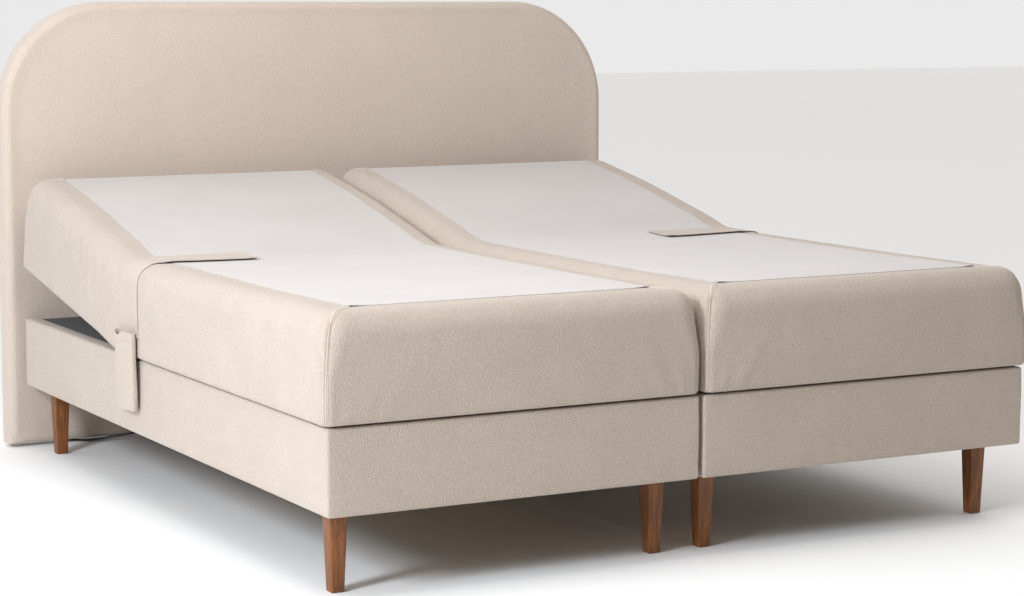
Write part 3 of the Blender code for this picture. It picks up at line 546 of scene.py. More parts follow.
fabric_effect, cloth, surface = new_effect(
    "pebbled_fabric",
    Light=(0.45, 0.38, 0.32, 1),
    Dark=(0.35, 0.29, 0.24, 1),
    Pebble=210.0,
    Thread=900.0,
    Cloudy=9.0,
)
tree = fabric_effect
place = vector_maths(tree, "MULTIPLY", object_place(tree), i1=(1.0, 1.0, 0.72))
wander = add_node(tree, "ShaderNodeTexNoise", Vector=place, Scale=70.0, Detail=2.0).outputs["Color"]
moved = vector_maths(tree, "ADD", place, i1=vector_maths(tree, "SCALE", wander, Scale=0.008))
cells = {"Vector": moved, "Scale": cloth["Pebble"], "Smoothness": 0.6}
pebbles = add_node(tree, "ShaderNodeTexVoronoi", {"feature": "SMOOTH_F1"}, **cells).outputs["Distance"]
threads = noise(tree, Vector=place, Scale=cloth["Thread"], Detail=2.0)
clouds = noise(tree, Vector=place, Scale=cloth["Cloudy"], Detail=3.0)
domes = mapped(tree, maths(tree, "SUBTRACT", 1.0, pebbles), 0.25, 0.85, steps="SMOOTHSTEP")
height = maths(tree, "ADD", maths(tree, "MULTIPLY", domes, 0.8), maths(tree, "MULTIPLY", threads, 0.25))
mottle = maths(tree, "MULTIPLY_ADD", threads, 0.5, -0.25)
mottle = maths(tree, "ADD", mottle, maths(tree, "MULTIPLY_ADD", clouds, 0.7, -0.35))
# The colour follows the pebbles: their tops are lighter and the hollows between them darker, which is painted
# shade. The threads and clouds add the yarn's own random tone.
tone = maths(tree, "ADD", maths(tree, "MULTIPLY_ADD", domes, 0.9, -0.05), mottle)
cloth_colour = colour_between(tree, tone, cloth["Dark"], cloth["Light"])
cloth_roughness = maths(tree, "MULTIPLY_ADD", threads, -0.2, 0.98)
feed(tree, surface, Color=cloth_colour, Height=height, Roughness=cloth_roughness)


def fabric(name, light, dark, pebble, thread, bump, depth, sheen=0.25):
    """A fabric finish from the pebbled effect, with a soft sheen."""
    values = {"Light": (*light, 1), "Dark": (*dark, 1), "Pebble": pebble, "Thread": thread}
    material, tree, shader = effect_material(name, fabric_effect, bump, depth, **values)
    feed(tree, shader.inputs, Sheen_Weight=sheen, Sheen_Roughness=0.5, Specular_IOR_Level=0.2)
    return material


box_fabric = fabric("box_upholstery", UPHOLSTERY_LIGHT, UPHOLSTERY_DARK, 400.0, 1300.0, 0.9, 0.0015)


def box_profile(z0, z1):
    """The (inset, height) line of a cover's closed skin: hem, side and rim, then back inside."""
    skin, edge = BOX_SKIN, BOX_EDGE_ROUND
    bend = [math.radians(90 * step / 4) for step in range(5)]
    outside = [(BOX_HEM, z0)]
    outside += [(edge - edge * math.sin(a), z0 + edge - edge * math.cos(a)) for a in bend]
    for step in range(1, 16):
        share = step / 16
        outside.append((-BOX_BELLY * math.sin(math.pi * share), z0 + edge + (z1 - z0 - 2 * edge) * share))
    outside += [(edge - edge * math.cos(a), z1 - edge + edge * math.sin(a)) for a in bend]
    outside += [(BOX_RIM * 0.5, z1 - 0.0002), (BOX_RIM - 0.002, z1), (BOX_RIM - 0.0004, z1 - 0.0008)]
    inside = [(max(inset, 0) + skin, min(max(z, z0 + skin), z1 - skin)) for inset, z in outside]
    inside[0] = (BOX_HEM, z0 + skin)
    inside[-2:] = [(BOX_RIM - 0.002, z1 - skin), (BOX_RIM - 0.0004, z1 - skin)]
    return outside + inside[::-1]


def wrapped_box(name, low, high, material):
    """A cover's closed skin: its profile carried round the box's plan."""
    profile = box_profile(low.z, high.z)
    stations = []
    for corner, (sx, sy) in enumerate(CORNERS):
        for step in range(7):
            stations.append((sx, sy, math.radians(90 * corner + 90 * step / 6), 0.0))
        stations += [(*stations[-1][:3], step / 40.0) for step in range(1, 40)]
    width, length = high.x - low.x, high.y - low.y
    centre = ((low.x + high.x) / 2, (low.y + high.y) / 2)
    first_wave, second_wave = np.random.default_rng(11).uniform(0, 2 * math.pi, 2)
    points = []
    for sx, sy, a, along in stations:
        for inset, z in profile:
            round_in = max(BOX_CORNER_ROUND - inset, 0.002)
            cx = sx * (width / 2 - inset - round_in)
            cy = sy * (length / 2 - inset - round_in)
            x = cx + round_in * math.cos(a)
            y = cy + round_in * math.sin(a)
            if along > 0 and abs(math.sin(a)) > 0.5:
                x = cx * (1 - 2 * along)
            elif along > 0:
                y = cy * (1 - 2 * along)
            if low.z + 0.02 < z < high.z - 0.02 and inset < 0.001:
                ripple = math.sin(9 * x + 7 * y + first_wave) * math.sin(40 * z + second_wave + 5 * x)
                x += BOX_RIPPLE * ripple * math.cos(a)
                y += BOX_RIPPLE * ripple * math.sin(a)
            points.append((centre[0] + x, centre[1] + y, z))
    return mesh_piece(name, points, looped_faces(len(stations), len(profile)), material)


for unit in UNITS:
    node = unit + "_box_cover"
    cover = wrapped_box(unit + "_box_fabric", *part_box(node), box_fabric)
    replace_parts(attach(cover, "root"), node)

# ---------------------------------------------------------------- section covers
# One sewn textile cover goes over springs and foam of all the sections of a unit: boxed
# side panels, a top panel, corner seams stitched twice. It creases at the sides where the back bends.
FOOT_Y = -1.0515
COVER_IN, COVER_OUT = 0.0070, 0.9065
COVER_FOOT, COVER_HEAD = FOOT_Y - 0.0060, FOOT_Y + 2.0
COVER_LOW, COVER_TOP = 0.3658, 0.5985
ROUND_SIDE, ROUND_END, ROUND_HIGH = 0.056, 0.050, 0.054
ROUND_CORNER, ROUND_LOW = 0.022, 0.006
SKIRT = 0.018
SKIRT_LIFT, SKIRT_REACH = 0.0267, 0.054
BACK_PIN_Y, PIN_Z = FOOT_Y + 1.200, 0.380
BACK_SPLIT, FOOT_SPLIT = FOOT_Y + 1.05, FOOT_Y + 0.72
BACK_RAISED = math.radians(10)
BEND_START, BEND_END = FOOT_Y + 1.10, FOOT_Y + 1.38
UNIT_MIDDLE = 0.4525
SIDE_BELLY, INNER_BELLY = 0.0042, 0.0015
FOOT_BELLY, HEAD_BELLY = 0.0050, 0.0080
SIDE_WAVE, FOOT_WAVE = 0.0009, 0.0010
HEAD_LIFT, MIDDLE_SAG = 0.0185, 0.0085
CREASE_WIDE = 0.0155
# Creases of the side panels where the back bends: way from the foot end, height, reach, depth.
SIDE_CREASES = (
    (1.252, 0.490, 0.080, 0.0070),
    (1.318, 0.485, 0.090, 0.0100),
    (1.384, 0.490, 0.090, 0.0115),
    (1.446, 0.500, 0.080, 0.0090),
    (1.508, 0.515, 0.065, 0.0060),
    (1.578, 0.525, 0.055, 0.0055),
    (1.650, 0.540, 0.045, 0.0035),
    (1.022, 0.545, 0.050, 0.0040),
)
# Pulls at the lower corners of the foot panel: share of its width, lean, size, depth.
FOOT_PULLS = (
    (0.905, 0.25, 0.075, 0.0026),
    (0.865, 0.55, 0.060, 0.0020),
    (0.945, 0.10, 0.060, 0.0016),
    (0.085, -0.60, 0.110, 0.0032),
    (0.045, -0.25, 0.070, 0.0020),
    (0.140, -0.80, 0.060, 0.0012),
)


def block_surface(xs, ys, zs):
    """The six sides of a block as quads between three lists of grid lines."""
    shape = (len(xs), len(ys), len(zs))
    outer = np.zeros(shape, bool)
    outer[[0, -1]] = True
    outer[:, [0, -1]] = True
    outer[:, :, [0, -1]] = True
    ids = -np.ones(shape, int)
    ids[outer] = np.arange(outer.sum())
    i, j, k = np.nonzero(outer)
    points = np.stack([np.array(xs)[i], np.array(ys)[j], np.array(zs)[k]], axis=1)
    faces = []
    for grid, turned_over in (
        (ids[:, :, -1], False),
        (ids[:, :, 0], True),
        (ids[:, 0, :], False),
        (ids[:, -1, :], True),
        (ids[0, :, :], True),
        (ids[-1, :, :], False),
    ):
        quads = np.stack([grid[:-1, :-1], grid[1:, :-1], grid[1:, 1:], grid[:-1, 1:]], axis=-1).reshape(-1, 4)
        faces.append(quads[:, ::-1] if turned_over else quads)
    return points, np.concatenate(faces)


def edge_lines(low, high, radius_low, radius_high, step, count=5):
    """Grid lines from low to high: closer together in a rounded edge at either end."""
    share = [math.tan(math.radians(45 * k / count)) for k in range(count + 1)]
    start = [low + radius_low * (1 - s) for s in share[::-1]] if radius_low else [low]
    end = [high - radius_high * (1 - s) for s in share] if radius_high else [high]
    between = max(2, int(round((end[0] - start[-1]) / step)))
    return start + list(np.linspace(start[-1], end[0], between + 1))[1:-1] + end


def hump(value, place, width, power=2):
    """1 at a place, fading out over a width to either side."""
    return np.exp(-(((value - place) / width) ** power))


def cover_shape(points, side, rounded_foot, rounded_head, proud=0.0):
    """Maps points of a unit's plain block to the stuffed, creased and bent cover."""
    x, y, z = np.array(points, float).T
    across = x * side
    rise = smooth_step(z, COVER_TOP - 2.9 * ROUND_HIGH, COVER_TOP - 0.45 * ROUND_HIGH)
    ax = ROUND_CORNER + (ROUND_SIDE - ROUND_CORNER) * rise
    ay = ROUND_CORNER + (ROUND_END - ROUND_CORNER) * rise
    inner_x = np.clip(across, COVER_IN + ax, COVER_OUT - ax)
    inner_y = y.copy()
    if rounded_foot:
        inner_y = np.maximum(inner_y, COVER_FOOT + ay)
    if rounded_head:
        inner_y = np.minimum(inner_y, COVER_HEAD - ay)
    inner_z = np.clip(z, COVER_LOW + ROUND_LOW, COVER_TOP - ROUND_HIGH)
    az = np.where(z > inner_z, ROUND_HIGH, ROUND_LOW)
    d = np.stack([(across - inner_x) / ax, (y - inner_y) / ay, (z - inner_z) / az], axis=1)
    largest = np.abs(d).max(axis=1)
    length = np.maximum(np.linalg.norm(d, axis=1), 1e-9)
    scale = np.where(length > 1e-8, largest / length, 0)
    nx, ny, nz = (d / length[:, None]).T
    on_skin = (largest > 0.999).astype(float)
    px = inner_x + ax * d[:, 0] * scale
    py = inner_y + ay * d[:, 1] * scale
    pz = inner_z + az * d[:, 2] * scale
    yf = y - FOOT_Y
    high = np.clip((z - COVER_LOW) / (COVER_TOP - COVER_LOW), 0, 1)
    belly = np.sin(math.pi * np.clip(high * 1.02, 0, 1))
    outer_side = np.clip(nx, 0, 1)
    inner_side = np.clip(-nx, 0, 1)
    foot_side = np.clip(-ny, 0, 1) if rounded_foot else 0 * nx
    head_side = np.clip(ny, 0, 1) if rounded_head else 0 * nx
    by_pocket = 1 - 0.92 * hump(yf, 1.15, 0.095, 4)
    face_x = np.clip((across - COVER_IN) / (COVER_OUT - COVER_IN), 0, 1)
    full_width = np.sin(math.pi * face_x) ** 0.5
    out = SIDE_BELLY * belly * outer_side * by_pocket
    out += INNER_BELLY * belly * inner_side
    out += foot_side * belly * FOOT_BELLY * full_width
    out += head_side * belly * HEAD_BELLY * full_width
    seed = 1.7 if side > 0 else 0.4
    slow = np.sin(7.1 * yf + seed) * np.sin(11 * high + 3.1 * seed)
    slow += 0.6 * np.sin(17 * yf + 5 * high + 2 * seed)
    out += SIDE_WAVE * slow * belly * outer_side * by_pocket
    slow = np.sin(8 * face_x + seed) * np.sin(6 * high + 2 * seed)
    slow += 0.5 * np.sin(19 * face_x + 4 * high + seed)
    out += FOOT_WAVE * slow * belly * foot_side
    for place, height, reach, deep in SIDE_CREASES:
        line = place + 0.22 * (z - 0.55) + 0.010 * np.sin(20 * (z - 0.5) + place * 40 + seed)
        fold = hump(yf, line, CREASE_WIDE) * hump(z, height, reach, 4)
        out += deep * fold * outer_side * (1.0 if side < 0 else 0.8)
        out += deep * fold * inner_side * 0.3
    # Small gathers under the top seam of the foot panel.
    gathers = np.sin(97 * face_x + 2.2 * np.sin(23 * face_x + seed) + seed * 3)
    middle = smooth_step(face_x, 0.03, 0.12) * (1 - smooth_step(face_x, 0.88, 0.97))
    out += 0.0007 * gathers * foot_side * hump(z, 0.530, 0.022) * middle
    up = z - COVER_LOW
    for spot, lean, size, deep in FOOT_PULLS:
        ridge = hump(face_x, spot - lean * up / 0.9, 0.011 + 0.09 * up) * hump(up, 0, size)
        out += 1.5 * deep * ridge * foot_side * smooth_step(up, 0.0, 0.018)
    # The twice stitched seams at the vertical corners.
    if rounded_foot:
        corner = np.arctan2(np.clip(-ny, 0, 1), np.abs(nx) + 1e-9)
        seam = hump(corner, 0.42, 0.10) + hump(corner, 0.80, 0.10)
        out += (0.0012 * hump(corner, 0.61, 0.09) - 0.0016 * seam) * (np.abs(nz) < 0.75) * (np.abs(nx) > 0.02)
    lift = HEAD_LIFT * smooth_step(yf, 1.22, 1.78) * smooth_step(z, 0.42, COVER_TOP)
    lying = smooth_step(yf, 0.10, 0.5) * (1 - smooth_step(yf, 1.05, 1.27)) * np.clip(nz, 0, 1)
    sag = MIDDLE_SAG * np.sin(math.pi * face_x) ** 0.6 * lying
    out += 0.0022 * hump(z, COVER_LOW, 0.05) * outer_side * by_pocket
    out += proud
    under = (across > COVER_IN + SKIRT + 0.001) & (across < COVER_OUT - SKIRT - 0.001)
    if rounded_foot:
        under &= y > COVER_FOOT + SKIRT + 0.001
    if rounded_head:
        under &= y < COVER_HEAD - SKIRT - 0.001
    lifted = SKIRT_LIFT * np.clip(1 - (z - COVER_LOW) / SKIRT_REACH, 0, 1)
    pz = pz + lifted * under
    px = px + nx * out * on_skin
    py = py + ny * out * on_skin
    pz = pz + nz * out * on_skin + lift - sag
    # The back is raised: the cover bends over its hinge.
    turn = BACK_RAISED * smooth_step(y, BEND_START, BEND_END)
    dy, dz = py - BACK_PIN_Y, pz - PIN_Z
    py = BACK_PIN_Y + dy * np.cos(turn) - dz * np.sin(turn)
    pz = PIN_Z + dy * np.sin(turn) + dz * np.cos(turn)
    return np.stack([px * side, py, pz], axis=1)


cover_fabric = fabric("cover_upholstery", UPHOLSTERY_LIGHT, UPHOLSTERY_DARK, 420.0, 1300.0, 0.9, 0.0015)
SEAM_LINES = (0.0075, 0.013, SKIRT, SKIRT + 0.002)
GRID_STEP, FINE_STEP = 0.0165, 0.0062


def with_seam_lines(lines, *from_edges):
    """The grid lines and the ones of the hem and seams, each edge given with its way inwards."""
    added = [edge + way * value for edge, way in from_edges for value in SEAM_LINES]
    return sorted(set(np.round(list(lines) + added, 5)))


cover_x = edge_lines(COVER_IN, COVER_OUT, ROUND_SIDE, ROUND_SIDE, GRID_STEP, 7)
cover_x = with_seam_lines(cover_x, (COVER_IN, 1), (COVER_OUT, -1))
cover_z = [COVER_LOW, COVER_LOW + ROUND_LOW * 0.45, COVER_LOW + ROUND_LOW]
cover_z += list(np.arange(COVER_LOW + ROUND_LOW + 0.009, COVER_TOP - ROUND_HIGH - 0.004, 0.0095))
cover_z += [COVER_TOP - ROUND_HIGH * (1 - math.tan(math.radians(45 * k / 7))) for k in range(8)]
foot_y = edge_lines(COVER_FOOT, FOOT_SPLIT, ROUND_END, 0, GRID_STEP, 7)
back_y = list(np.arange(BACK_SPLIT, FOOT_Y + 1.66, FINE_STEP))
back_y += edge_lines(FOOT_Y + 1.665, COVER_HEAD, 0, ROUND_END, GRID_STEP, 7)
section_lines = {
    "foot": with_seam_lines(foot_y, (COVER_FOOT, 1)),
    "thigh": edge_lines(FOOT_SPLIT, BACK_SPLIT, 0, 0, GRID_STEP),
    "back": with_seam_lines(back_y, (COVER_HEAD, -1)),
}
section_covers = {}
for unit, side in UNITS.items():
    for part, ys in section_lines.items():
        line_x = [side * value for value in cover_x][::side]
        points, faces = block_surface(line_x, ys, cover_z)
        shaped = cover_shape(points, side, part == "foot", part == "back")
        section_covers[unit, part] = mesh_piece(f"{unit}_{part}_cover", shaped, faces, cover_fabric)
    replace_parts(section_covers[unit, "back"], unit + "_back_pad", unit + "_seat_pad")
    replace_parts(section_covers[unit, "thigh"], unit + "_thigh_pad")
    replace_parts(section_covers[unit, "foot"], unit + "_foot_pad")


def bend_with_section(piece, part):
    """Bakes a soft piece's placement into its mesh, the same for every section; it does not bend with one."""
    if part == "back":
        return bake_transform(piece)
    if part == "thigh":
        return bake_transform(piece)
    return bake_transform(piece)


for (unit, part), cover in section_covers.items():
    bend_with_section(cover, part)

# ---------------------------------------------------------------- corner seams
# A twice stitched, folded seam runs up each vertical corner of the covers, and over the
# rounding to the white cloth's corner.
CLOTH_IN, CLOTH_OUT = 0.0875, 0.8135
CLOTH_FOOT, CLOTH_HEAD = FOOT_Y + 0.080, FOOT_Y + 1.955
CLOTH_THICK = 0.0016
SEAM_HALF = 0.0075

seam_fabric = fabric("seam_upholstery", UPHOLSTERY_LIGHT, (0.500, 0.417, 0.350), 500.0, 1200.0, 0.4, 0.0008)


def closed_strip(name, under, above, rows, columns, turned_over, material):
    """A thin closed sheet from two grids of points, its underside and its upper side."""
    ids = np.arange(rows * columns).reshape(rows, columns)
    total = rows * columns
    quads = np.stack([ids[:-1, :-1], ids[1:, :-1], ids[1:, 1:], ids[:-1, 1:]], axis=-1).reshape(-1, 4)
    rim = np.concatenate([ids[:, 0], ids[-1, 1:], ids[-2::-1, -1], ids[0, -2:0:-1]])
    wall = np.stack([rim, np.roll(rim, -1), np.roll(rim, -1) + total, rim + total], axis=1)
    faces = np.concatenate([quads[:, ::-1], quads + total, wall])
    return mesh_piece(name, np.vstack([under, above]), faces[:, ::-1] if turned_over else faces, material)


def corner_seam(name, side, at_inner, at_head):
    """A folded strip up a cover's corner and over its top to the corner of the white cloth."""
    corner_x = COVER_IN if at_inner else COVER_OUT
    corner_y = COVER_HEAD if at_head else COVER_FOOT
    end_x = CLOTH_IN if at_inner else CLOTH_OUT
    end_y = CLOTH_HEAD if at_head else CLOTH_FOOT
    to_x, to_y = (1 if at_inner else -1), (-1 if at_head else 1)
    offsets = np.linspace(-1, 1, 15)
    rows = []
    for z in np.linspace(COVER_LOW + 0.010, COVER_TOP, 34)[:-1]:
        row = []
        for o in offsets:
            far = abs(o) * SEAM_HALF
            if o > 0:
                row.append((corner_x, corner_y + to_y * far, z))
            else:
                row.append((corner_x + to_x * far, corner_y, z))
        rows.append(row)
    for t in np.linspace(0, 1, 30):
        row = []
        for o in offsets:
            spread = o * SEAM_HALF * 0.8
            x = corner_x + (end_x - corner_x) * t - to_x * spread
            y = corner_y + (end_y - corner_y) * t + to_y * spread
            z = COVER_TOP - max(0, (corner_x - x) * to_x, (corner_y - y) * to_y)
            row.append((max(x * to_x, corner_x * to_x) * to_x, max(y * to_y, corner_y * to_y) * to_y, z))
        rows.append(row)
    flat = np.array(rows).reshape(-1, 3)
    flat[:, 0] *= side
    ridge = hump(offsets, 0, 0.30) * 0.0018
    stitch = hump(np.abs(offsets), 0.60, 0.14) * 0.0011
    edge = np.where(np.abs(offsets) > 0.98, -0.0010, 0.0)
    proud = np.tile(0.0010 + ridge - stitch + edge, len(rows))
    above = cover_shape(flat, side, not at_head, at_head, proud=proud)
    under = cover_shape(flat, side, not at_head, at_head, proud=np.full(len(flat), -0.0006))
    return closed_strip(name, under, above, len(rows), len(offsets), side * to_x * to_y > 0, seam_fabric)


for unit, side in UNITS.items():
    for spot in ("foot_outer", "head_outer", "foot_inner", "head_inner"):
        end, edge = spot.split("_")
        seam = corner_seam(f"{unit}_{spot}_seam", side, edge == "inner", end == "head")
        bend_with_section(seam, "back" if end == "head" else "foot")

# ---------------------------------------------------------------- white top cloths
# A plain white woven cloth is sewn to the middle of each cover's top, where the mattress
# lies. Its long edges are a little wavy, and its foot corners stand up slightly.
CLOTH_WAVE = 0.0011

white_cloth, tree, shader = new_material("white_top_cloth")
place = object_place(tree)
thread_rows = {"Vector": place, "Scale": 190.0, "Distortion": 0.6}
warp = add_node(tree, "ShaderNodeTexWave", {"bands_direction": "X"}, **thread_rows).outputs[1]
weft = add_node(tree, "ShaderNodeTexWave", {"bands_direction": "Y"}, **thread_rows).outputs[1]
clouds = noise(tree, Vector=place, Scale=5.0, Detail=4.0)
woven = maths(tree, "MULTIPLY", maths(tree, "ADD", warp, weft), 0.5)
tone = maths(tree, "ADD", maths(tree, "MULTIPLY", clouds, 0.8), maths(tree, "MULTIPLY", woven, 0.2))
white = colour_ramp(tree, tone, (0.3, (0.505, 0.468, 0.453)), (0.75, (0.545, 0.508, 0.492)))
feed(tree, shader.inputs, Base_Color=white, Roughness=0.85, Sheen_Weight=0.2, Specular_IOR_Level=0.25)
bumped(tree, shader, woven, 0.25, 0.0005)


def lying_sheet(name, side, xs, ys, part):
    """A thin closed sheet that lies on the cover's top between the given grid lines."""
    grid_x, grid_y = np.meshgrid(xs, ys, indexing="ij")
    rows, columns = grid_x.shape
    near_edge = hump(grid_x, xs[0], 0.02) - hump(grid_x, xs[-1], 0.02)
    ripple = np.sin(31 * grid_y + 2 * side) + 0.6 * np.sin(83 * grid_y + 1) + 0.4 * np.sin(171 * grid_y)
    grid_x = (grid_x + CLOTH_WAVE * near_edge * ripple).ravel()
    grid_y = grid_y.ravel()
    flat = np.stack([grid_x * side, grid_y, np.full(grid_x.size, COVER_TOP)], axis=1)
    lift = np.zeros(grid_x.size)
    if part == "foot":
        from_corner = np.minimum(np.abs(grid_x - xs[0]), np.abs(grid_x - xs[-1]))
        lift = 0.0028 * hump(grid_y, ys[0], 0.012) * hump(from_corner, 0, 0.03)
    ends = (part == "foot", part == "back")
    low = cover_shape(flat, side, *ends, proud=lift - 0.0004)
    high = cover_shape(flat, side, *ends, proud=lift - 0.0004 + CLOTH_THICK)
    return closed_strip(name, low, high, rows, columns, side < 0, white_cloth)


cloth_x = np.linspace(CLOTH_IN, CLOTH_OUT, 46)
cloth_ends = {
    "foot": (CLOTH_FOOT, FOOT_SPLIT),
    "thigh": (FOOT_SPLIT, BACK_SPLIT),
    "back": (BACK_SPLIT, CLOTH_HEAD),
}
for unit, side in UNITS.items():
    for part, (low, high) in cloth_ends.items():
        ys = np.linspace(low, high, int((high - low) / 0.0125) + 2)
        cloth = lying_sheet(f"{unit}_{part}_top_cloth", side, cloth_x, ys, part)
        bend_with_section(cloth, part)

# ---------------------------------------------------------------- remote straps
# A strap of the cover's fabric lies over each unit's outer edge, doubled and edge stitched.
# Its end hangs down the side as a flat pocket, open at the top, that holds the hand control.
STRAP_FOOT, STRAP_HEAD = FOOT_Y + 1.080, FOOT_Y + 1.205
STRAP_REACH = 0.592
STRAP_THICK = 0.0018
STRAP_END = 0.418
POCKET_LOW, POCKET_MOUTH = 0.240, 0.430
POCKET_HALF = 0.0600
POCKET_BACK, POCKET_TUCK = 0.9092, 0.0040
POCKET_FRONT = 0.9288
POCKET_SIDES = 56
MOUTH_DIP = 0.013

strap_light, strap_dark = (0.585, 0.492, 0.418), (0.485, 0.404, 0.340)
strap_fabric = fabric("strap_upholstery", strap_light, strap_dark, 440.0, 1300.0, 0.8, 0.0012)


def remote_strap(name, side):
    """The strap's flap and side, as a closed strip over the cover's rounded edge."""
    turn = [math.tan(math.radians(45 * k / 8)) for k in range(9)]
    path = [(x, COVER_TOP) for x in np.linspace(STRAP_REACH, COVER_OUT - ROUND_SIDE, 26)]
    path += [(COVER_OUT - ROUND_SIDE * (1 - t), COVER_TOP) for t in turn[1:]]
    path += [(COVER_OUT, COVER_TOP - ROUND_HIGH * (1 - t)) for t in turn[-2::-1]]
    path += [(COVER_OUT, z) for z in np.linspace(COVER_TOP - ROUND_HIGH, STRAP_END, 12)[1:]]
    across = np.concatenate([[0, 0.0012, 0.004], np.linspace(0.008, 0.992, 22), [0.996, 0.9988, 1.0]])
    ys = STRAP_FOOT + (STRAP_HEAD - STRAP_FOOT) * across
    flat = np.array([(x * side, y, z) for x, z in path for y in ys])
    along = np.array([x if z == COVER_TOP else 2.0 for x, z in path])[:, None]
    lift = 0.0032 * hump(ys, STRAP_FOOT, 0.016)[None, :] * (1 - smooth_step(along, 0.80, 0.90))
    lift = lift + 0.0020 * hump(along, STRAP_REACH, 0.02)
    lift += 0.0006 * np.sin(60 * along) * np.sin(25 * (ys - STRAP_FOOT))[None, :]
    lift += 0.0016 * (1 - smooth_step(along, CLOTH_OUT + 0.002, CLOTH_OUT + 0.030)) + 0.0007
    stitch = hump(ys, STRAP_FOOT + 0.0045, 0.0012) + hump(ys, STRAP_HEAD - 0.0045, 0.0012)
    under = cover_shape(flat, side, False, True, proud=lift.ravel())
    stitched = lift + STRAP_THICK - 0.0006 * stitch[None, :]
    above = cover_shape(flat, side, False, True, proud=stitched.ravel())
    return closed_strip(name, under, above, len(path), len(ys), side < 0, strap_fabric)


def pocket_ring(side, z, inset=0.0, grow=0.0):
    """One level ring round the pocket: flat at its back, swelling to its front, cut down at the mouth."""
    share = (z - POCKET_LOW) / (POCKET_MOUTH - POCKET_LOW)
    back = POCKET_BACK - POCKET_TUCK * (1 - smooth_step(z, 0.27, 0.385))
    deep = POCKET_FRONT - 0.0022 * (1 - smooth_step(share, 0.0, 0.5)) - back + grow
    ring = []
    for a in np.linspace(0, 2 * math.pi, POCKET_SIDES, endpoint=False):
        c, s = math.cos(a), math.sin(a)
        y = (POCKET_HALF - inset) * math.copysign(abs(c) ** 0.55, c)
        swell = 0.5 * (1 + math.copysign(abs(s) ** 0.5, s))
        x = back + inset + (deep - 2 * inset) * swell
        x -= 0.0016 * (1 - share) * (y / POCKET_HALF) ** 2 * swell
        dip = MOUTH_DIP * hump(y, 0.030, 0.024) * smooth_step(swell, 0.4, 0.9) * smooth_step(share, 0.75, 1.0)
        middle = (STRAP_FOOT + STRAP_HEAD) / 2 + 0.004 * (1 - share) ** 2
        ring.append((side * x, middle + y, z + 0.0018 * s * share - dip))
    return ring


def remote_pocket(name, side):
    """The pocket: outer skin, hemmed mouth and inner skin as one closed bag."""
    levels = list(np.linspace(POCKET_LOW, POCKET_MOUTH - 0.024, 16))
    hem = [POCKET_MOUTH - v for v in (0.0220, 0.0205, 0.0190, 0.0120, 0.0050, 0.0010, 0.0)]
    rings = [pocket_ring(side, POCKET_LOW + 0.0005, 0.004), pocket_ring(side, POCKET_LOW + 0.0002, 0.0015)]
    rings += [pocket_ring(side, z) for z in levels[1:]]
    rings += [pocket_ring(side, z, 0.0, 0.0007 if k > 0 else -0.0006) for k, z in enumerate(hem)]
    inside = [POCKET_MOUTH - 0.0004] + hem[::-1][1:] + levels[::-1][:-1]
    rings += [pocket_ring(side, z, 0.0016) for z in inside]
    rings += [pocket_ring(side, POCKET_LOW + 0.003, 0.0030)]
    faces = closed_rings(len(rings), POCKET_SIDES)
    if side < 0:
        faces = [face[::-1] for face in faces]
    bag = mesh_piece(name, [point for ring in rings for point in ring], faces, strap_fabric)
    bag.data.flip_normals()
    return bag


for unit, side in UNITS.items():
    strap = remote_strap(unit + "_strap_flap", side)
    bend_with_section(strap, "back")
    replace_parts(strap, unit + "_remote_strap")
    pocket = remote_pocket(unit + "_strap_pocket", side)
    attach(pocket, "root")

# ---------------------------------------------------------------- hand controls
# A slim hand control stands in each pocket: a black moulded case in two halves with a soft
# keypad of six round keys and a thin parting line.
CASE_SIDES = 64
KEY_APART, KEY_ROW, KEY_TOP = 0.0105, 0.024, 0.030

finish_effect, finish, surface = new_effect(
    "fine_finish",
    Clean=(0.1, 0.1, 0.1, 1),
    Marked=(0.2, 0.2, 0.2, 1),
    Grain=300.0,
    Marks=0.3,
    Smooth=0.4,
    Rough=0.6,
)
tree = finish_effect
place = object_place(tree)
specks = noise(tree, Vector=place, Scale=finish["Grain"], Detail=3.0)
smears = noise(tree, Vector=place, Scale=14.0, Detail=5.0, Roughness=0.65)
worn = mapped(tree, add_node(tree, "ShaderNodeNewGeometry").outputs["Pointiness"], 0.52, 0.60)
marked = maths(tree, "MAXIMUM", mapped(tree, smears, 0.45, 0.75), worn)
marked = maths(tree, "MULTIPLY", marked, finish["Marks"])
finish_colour = colour_between(tree, marked, finish["Clean"], finish["Marked"])
finish_roughness = mapped(tree, smears, 0.3, 0.7, finish["Smooth"], finish["Rough"])
feed(tree, surface, Color=finish_colour, Height=specks, Roughness=finish_roughness)


def hard_finish(name, clean, marked, grain, marks, smooth, rough, bump, metallic=0.0):
    """A hard surface from the fine finish effect."""
    values = {"Grain": grain, "Marks": marks, "Smooth": smooth, "Rough": rough}
    colours = {"Clean": (*clean, 1), "Marked": (*marked, 1)}
    material, tree, shader = effect_material(name, finish_effect, bump, 0.0004, **values, **colours)
    feed(tree, shader.inputs, Metallic=metallic)
    return material


case_black, case_rubbed = (0.018, 0.018, 0.019), (0.035, 0.035, 0.037)
case_plastic = hard_finish("handset_case", case_black, case_rubbed, 1200.0, 0.5, 0.45, 0.6, 0.25)
key_grey, key_rubbed = (0.09, 0.09, 0.095), (0.13, 0.13, 0.135)
key_rubber = hard_finish("handset_keys", key_grey, key_rubbed, 900.0, 0.4, 0.6, 0.75, 0.15)


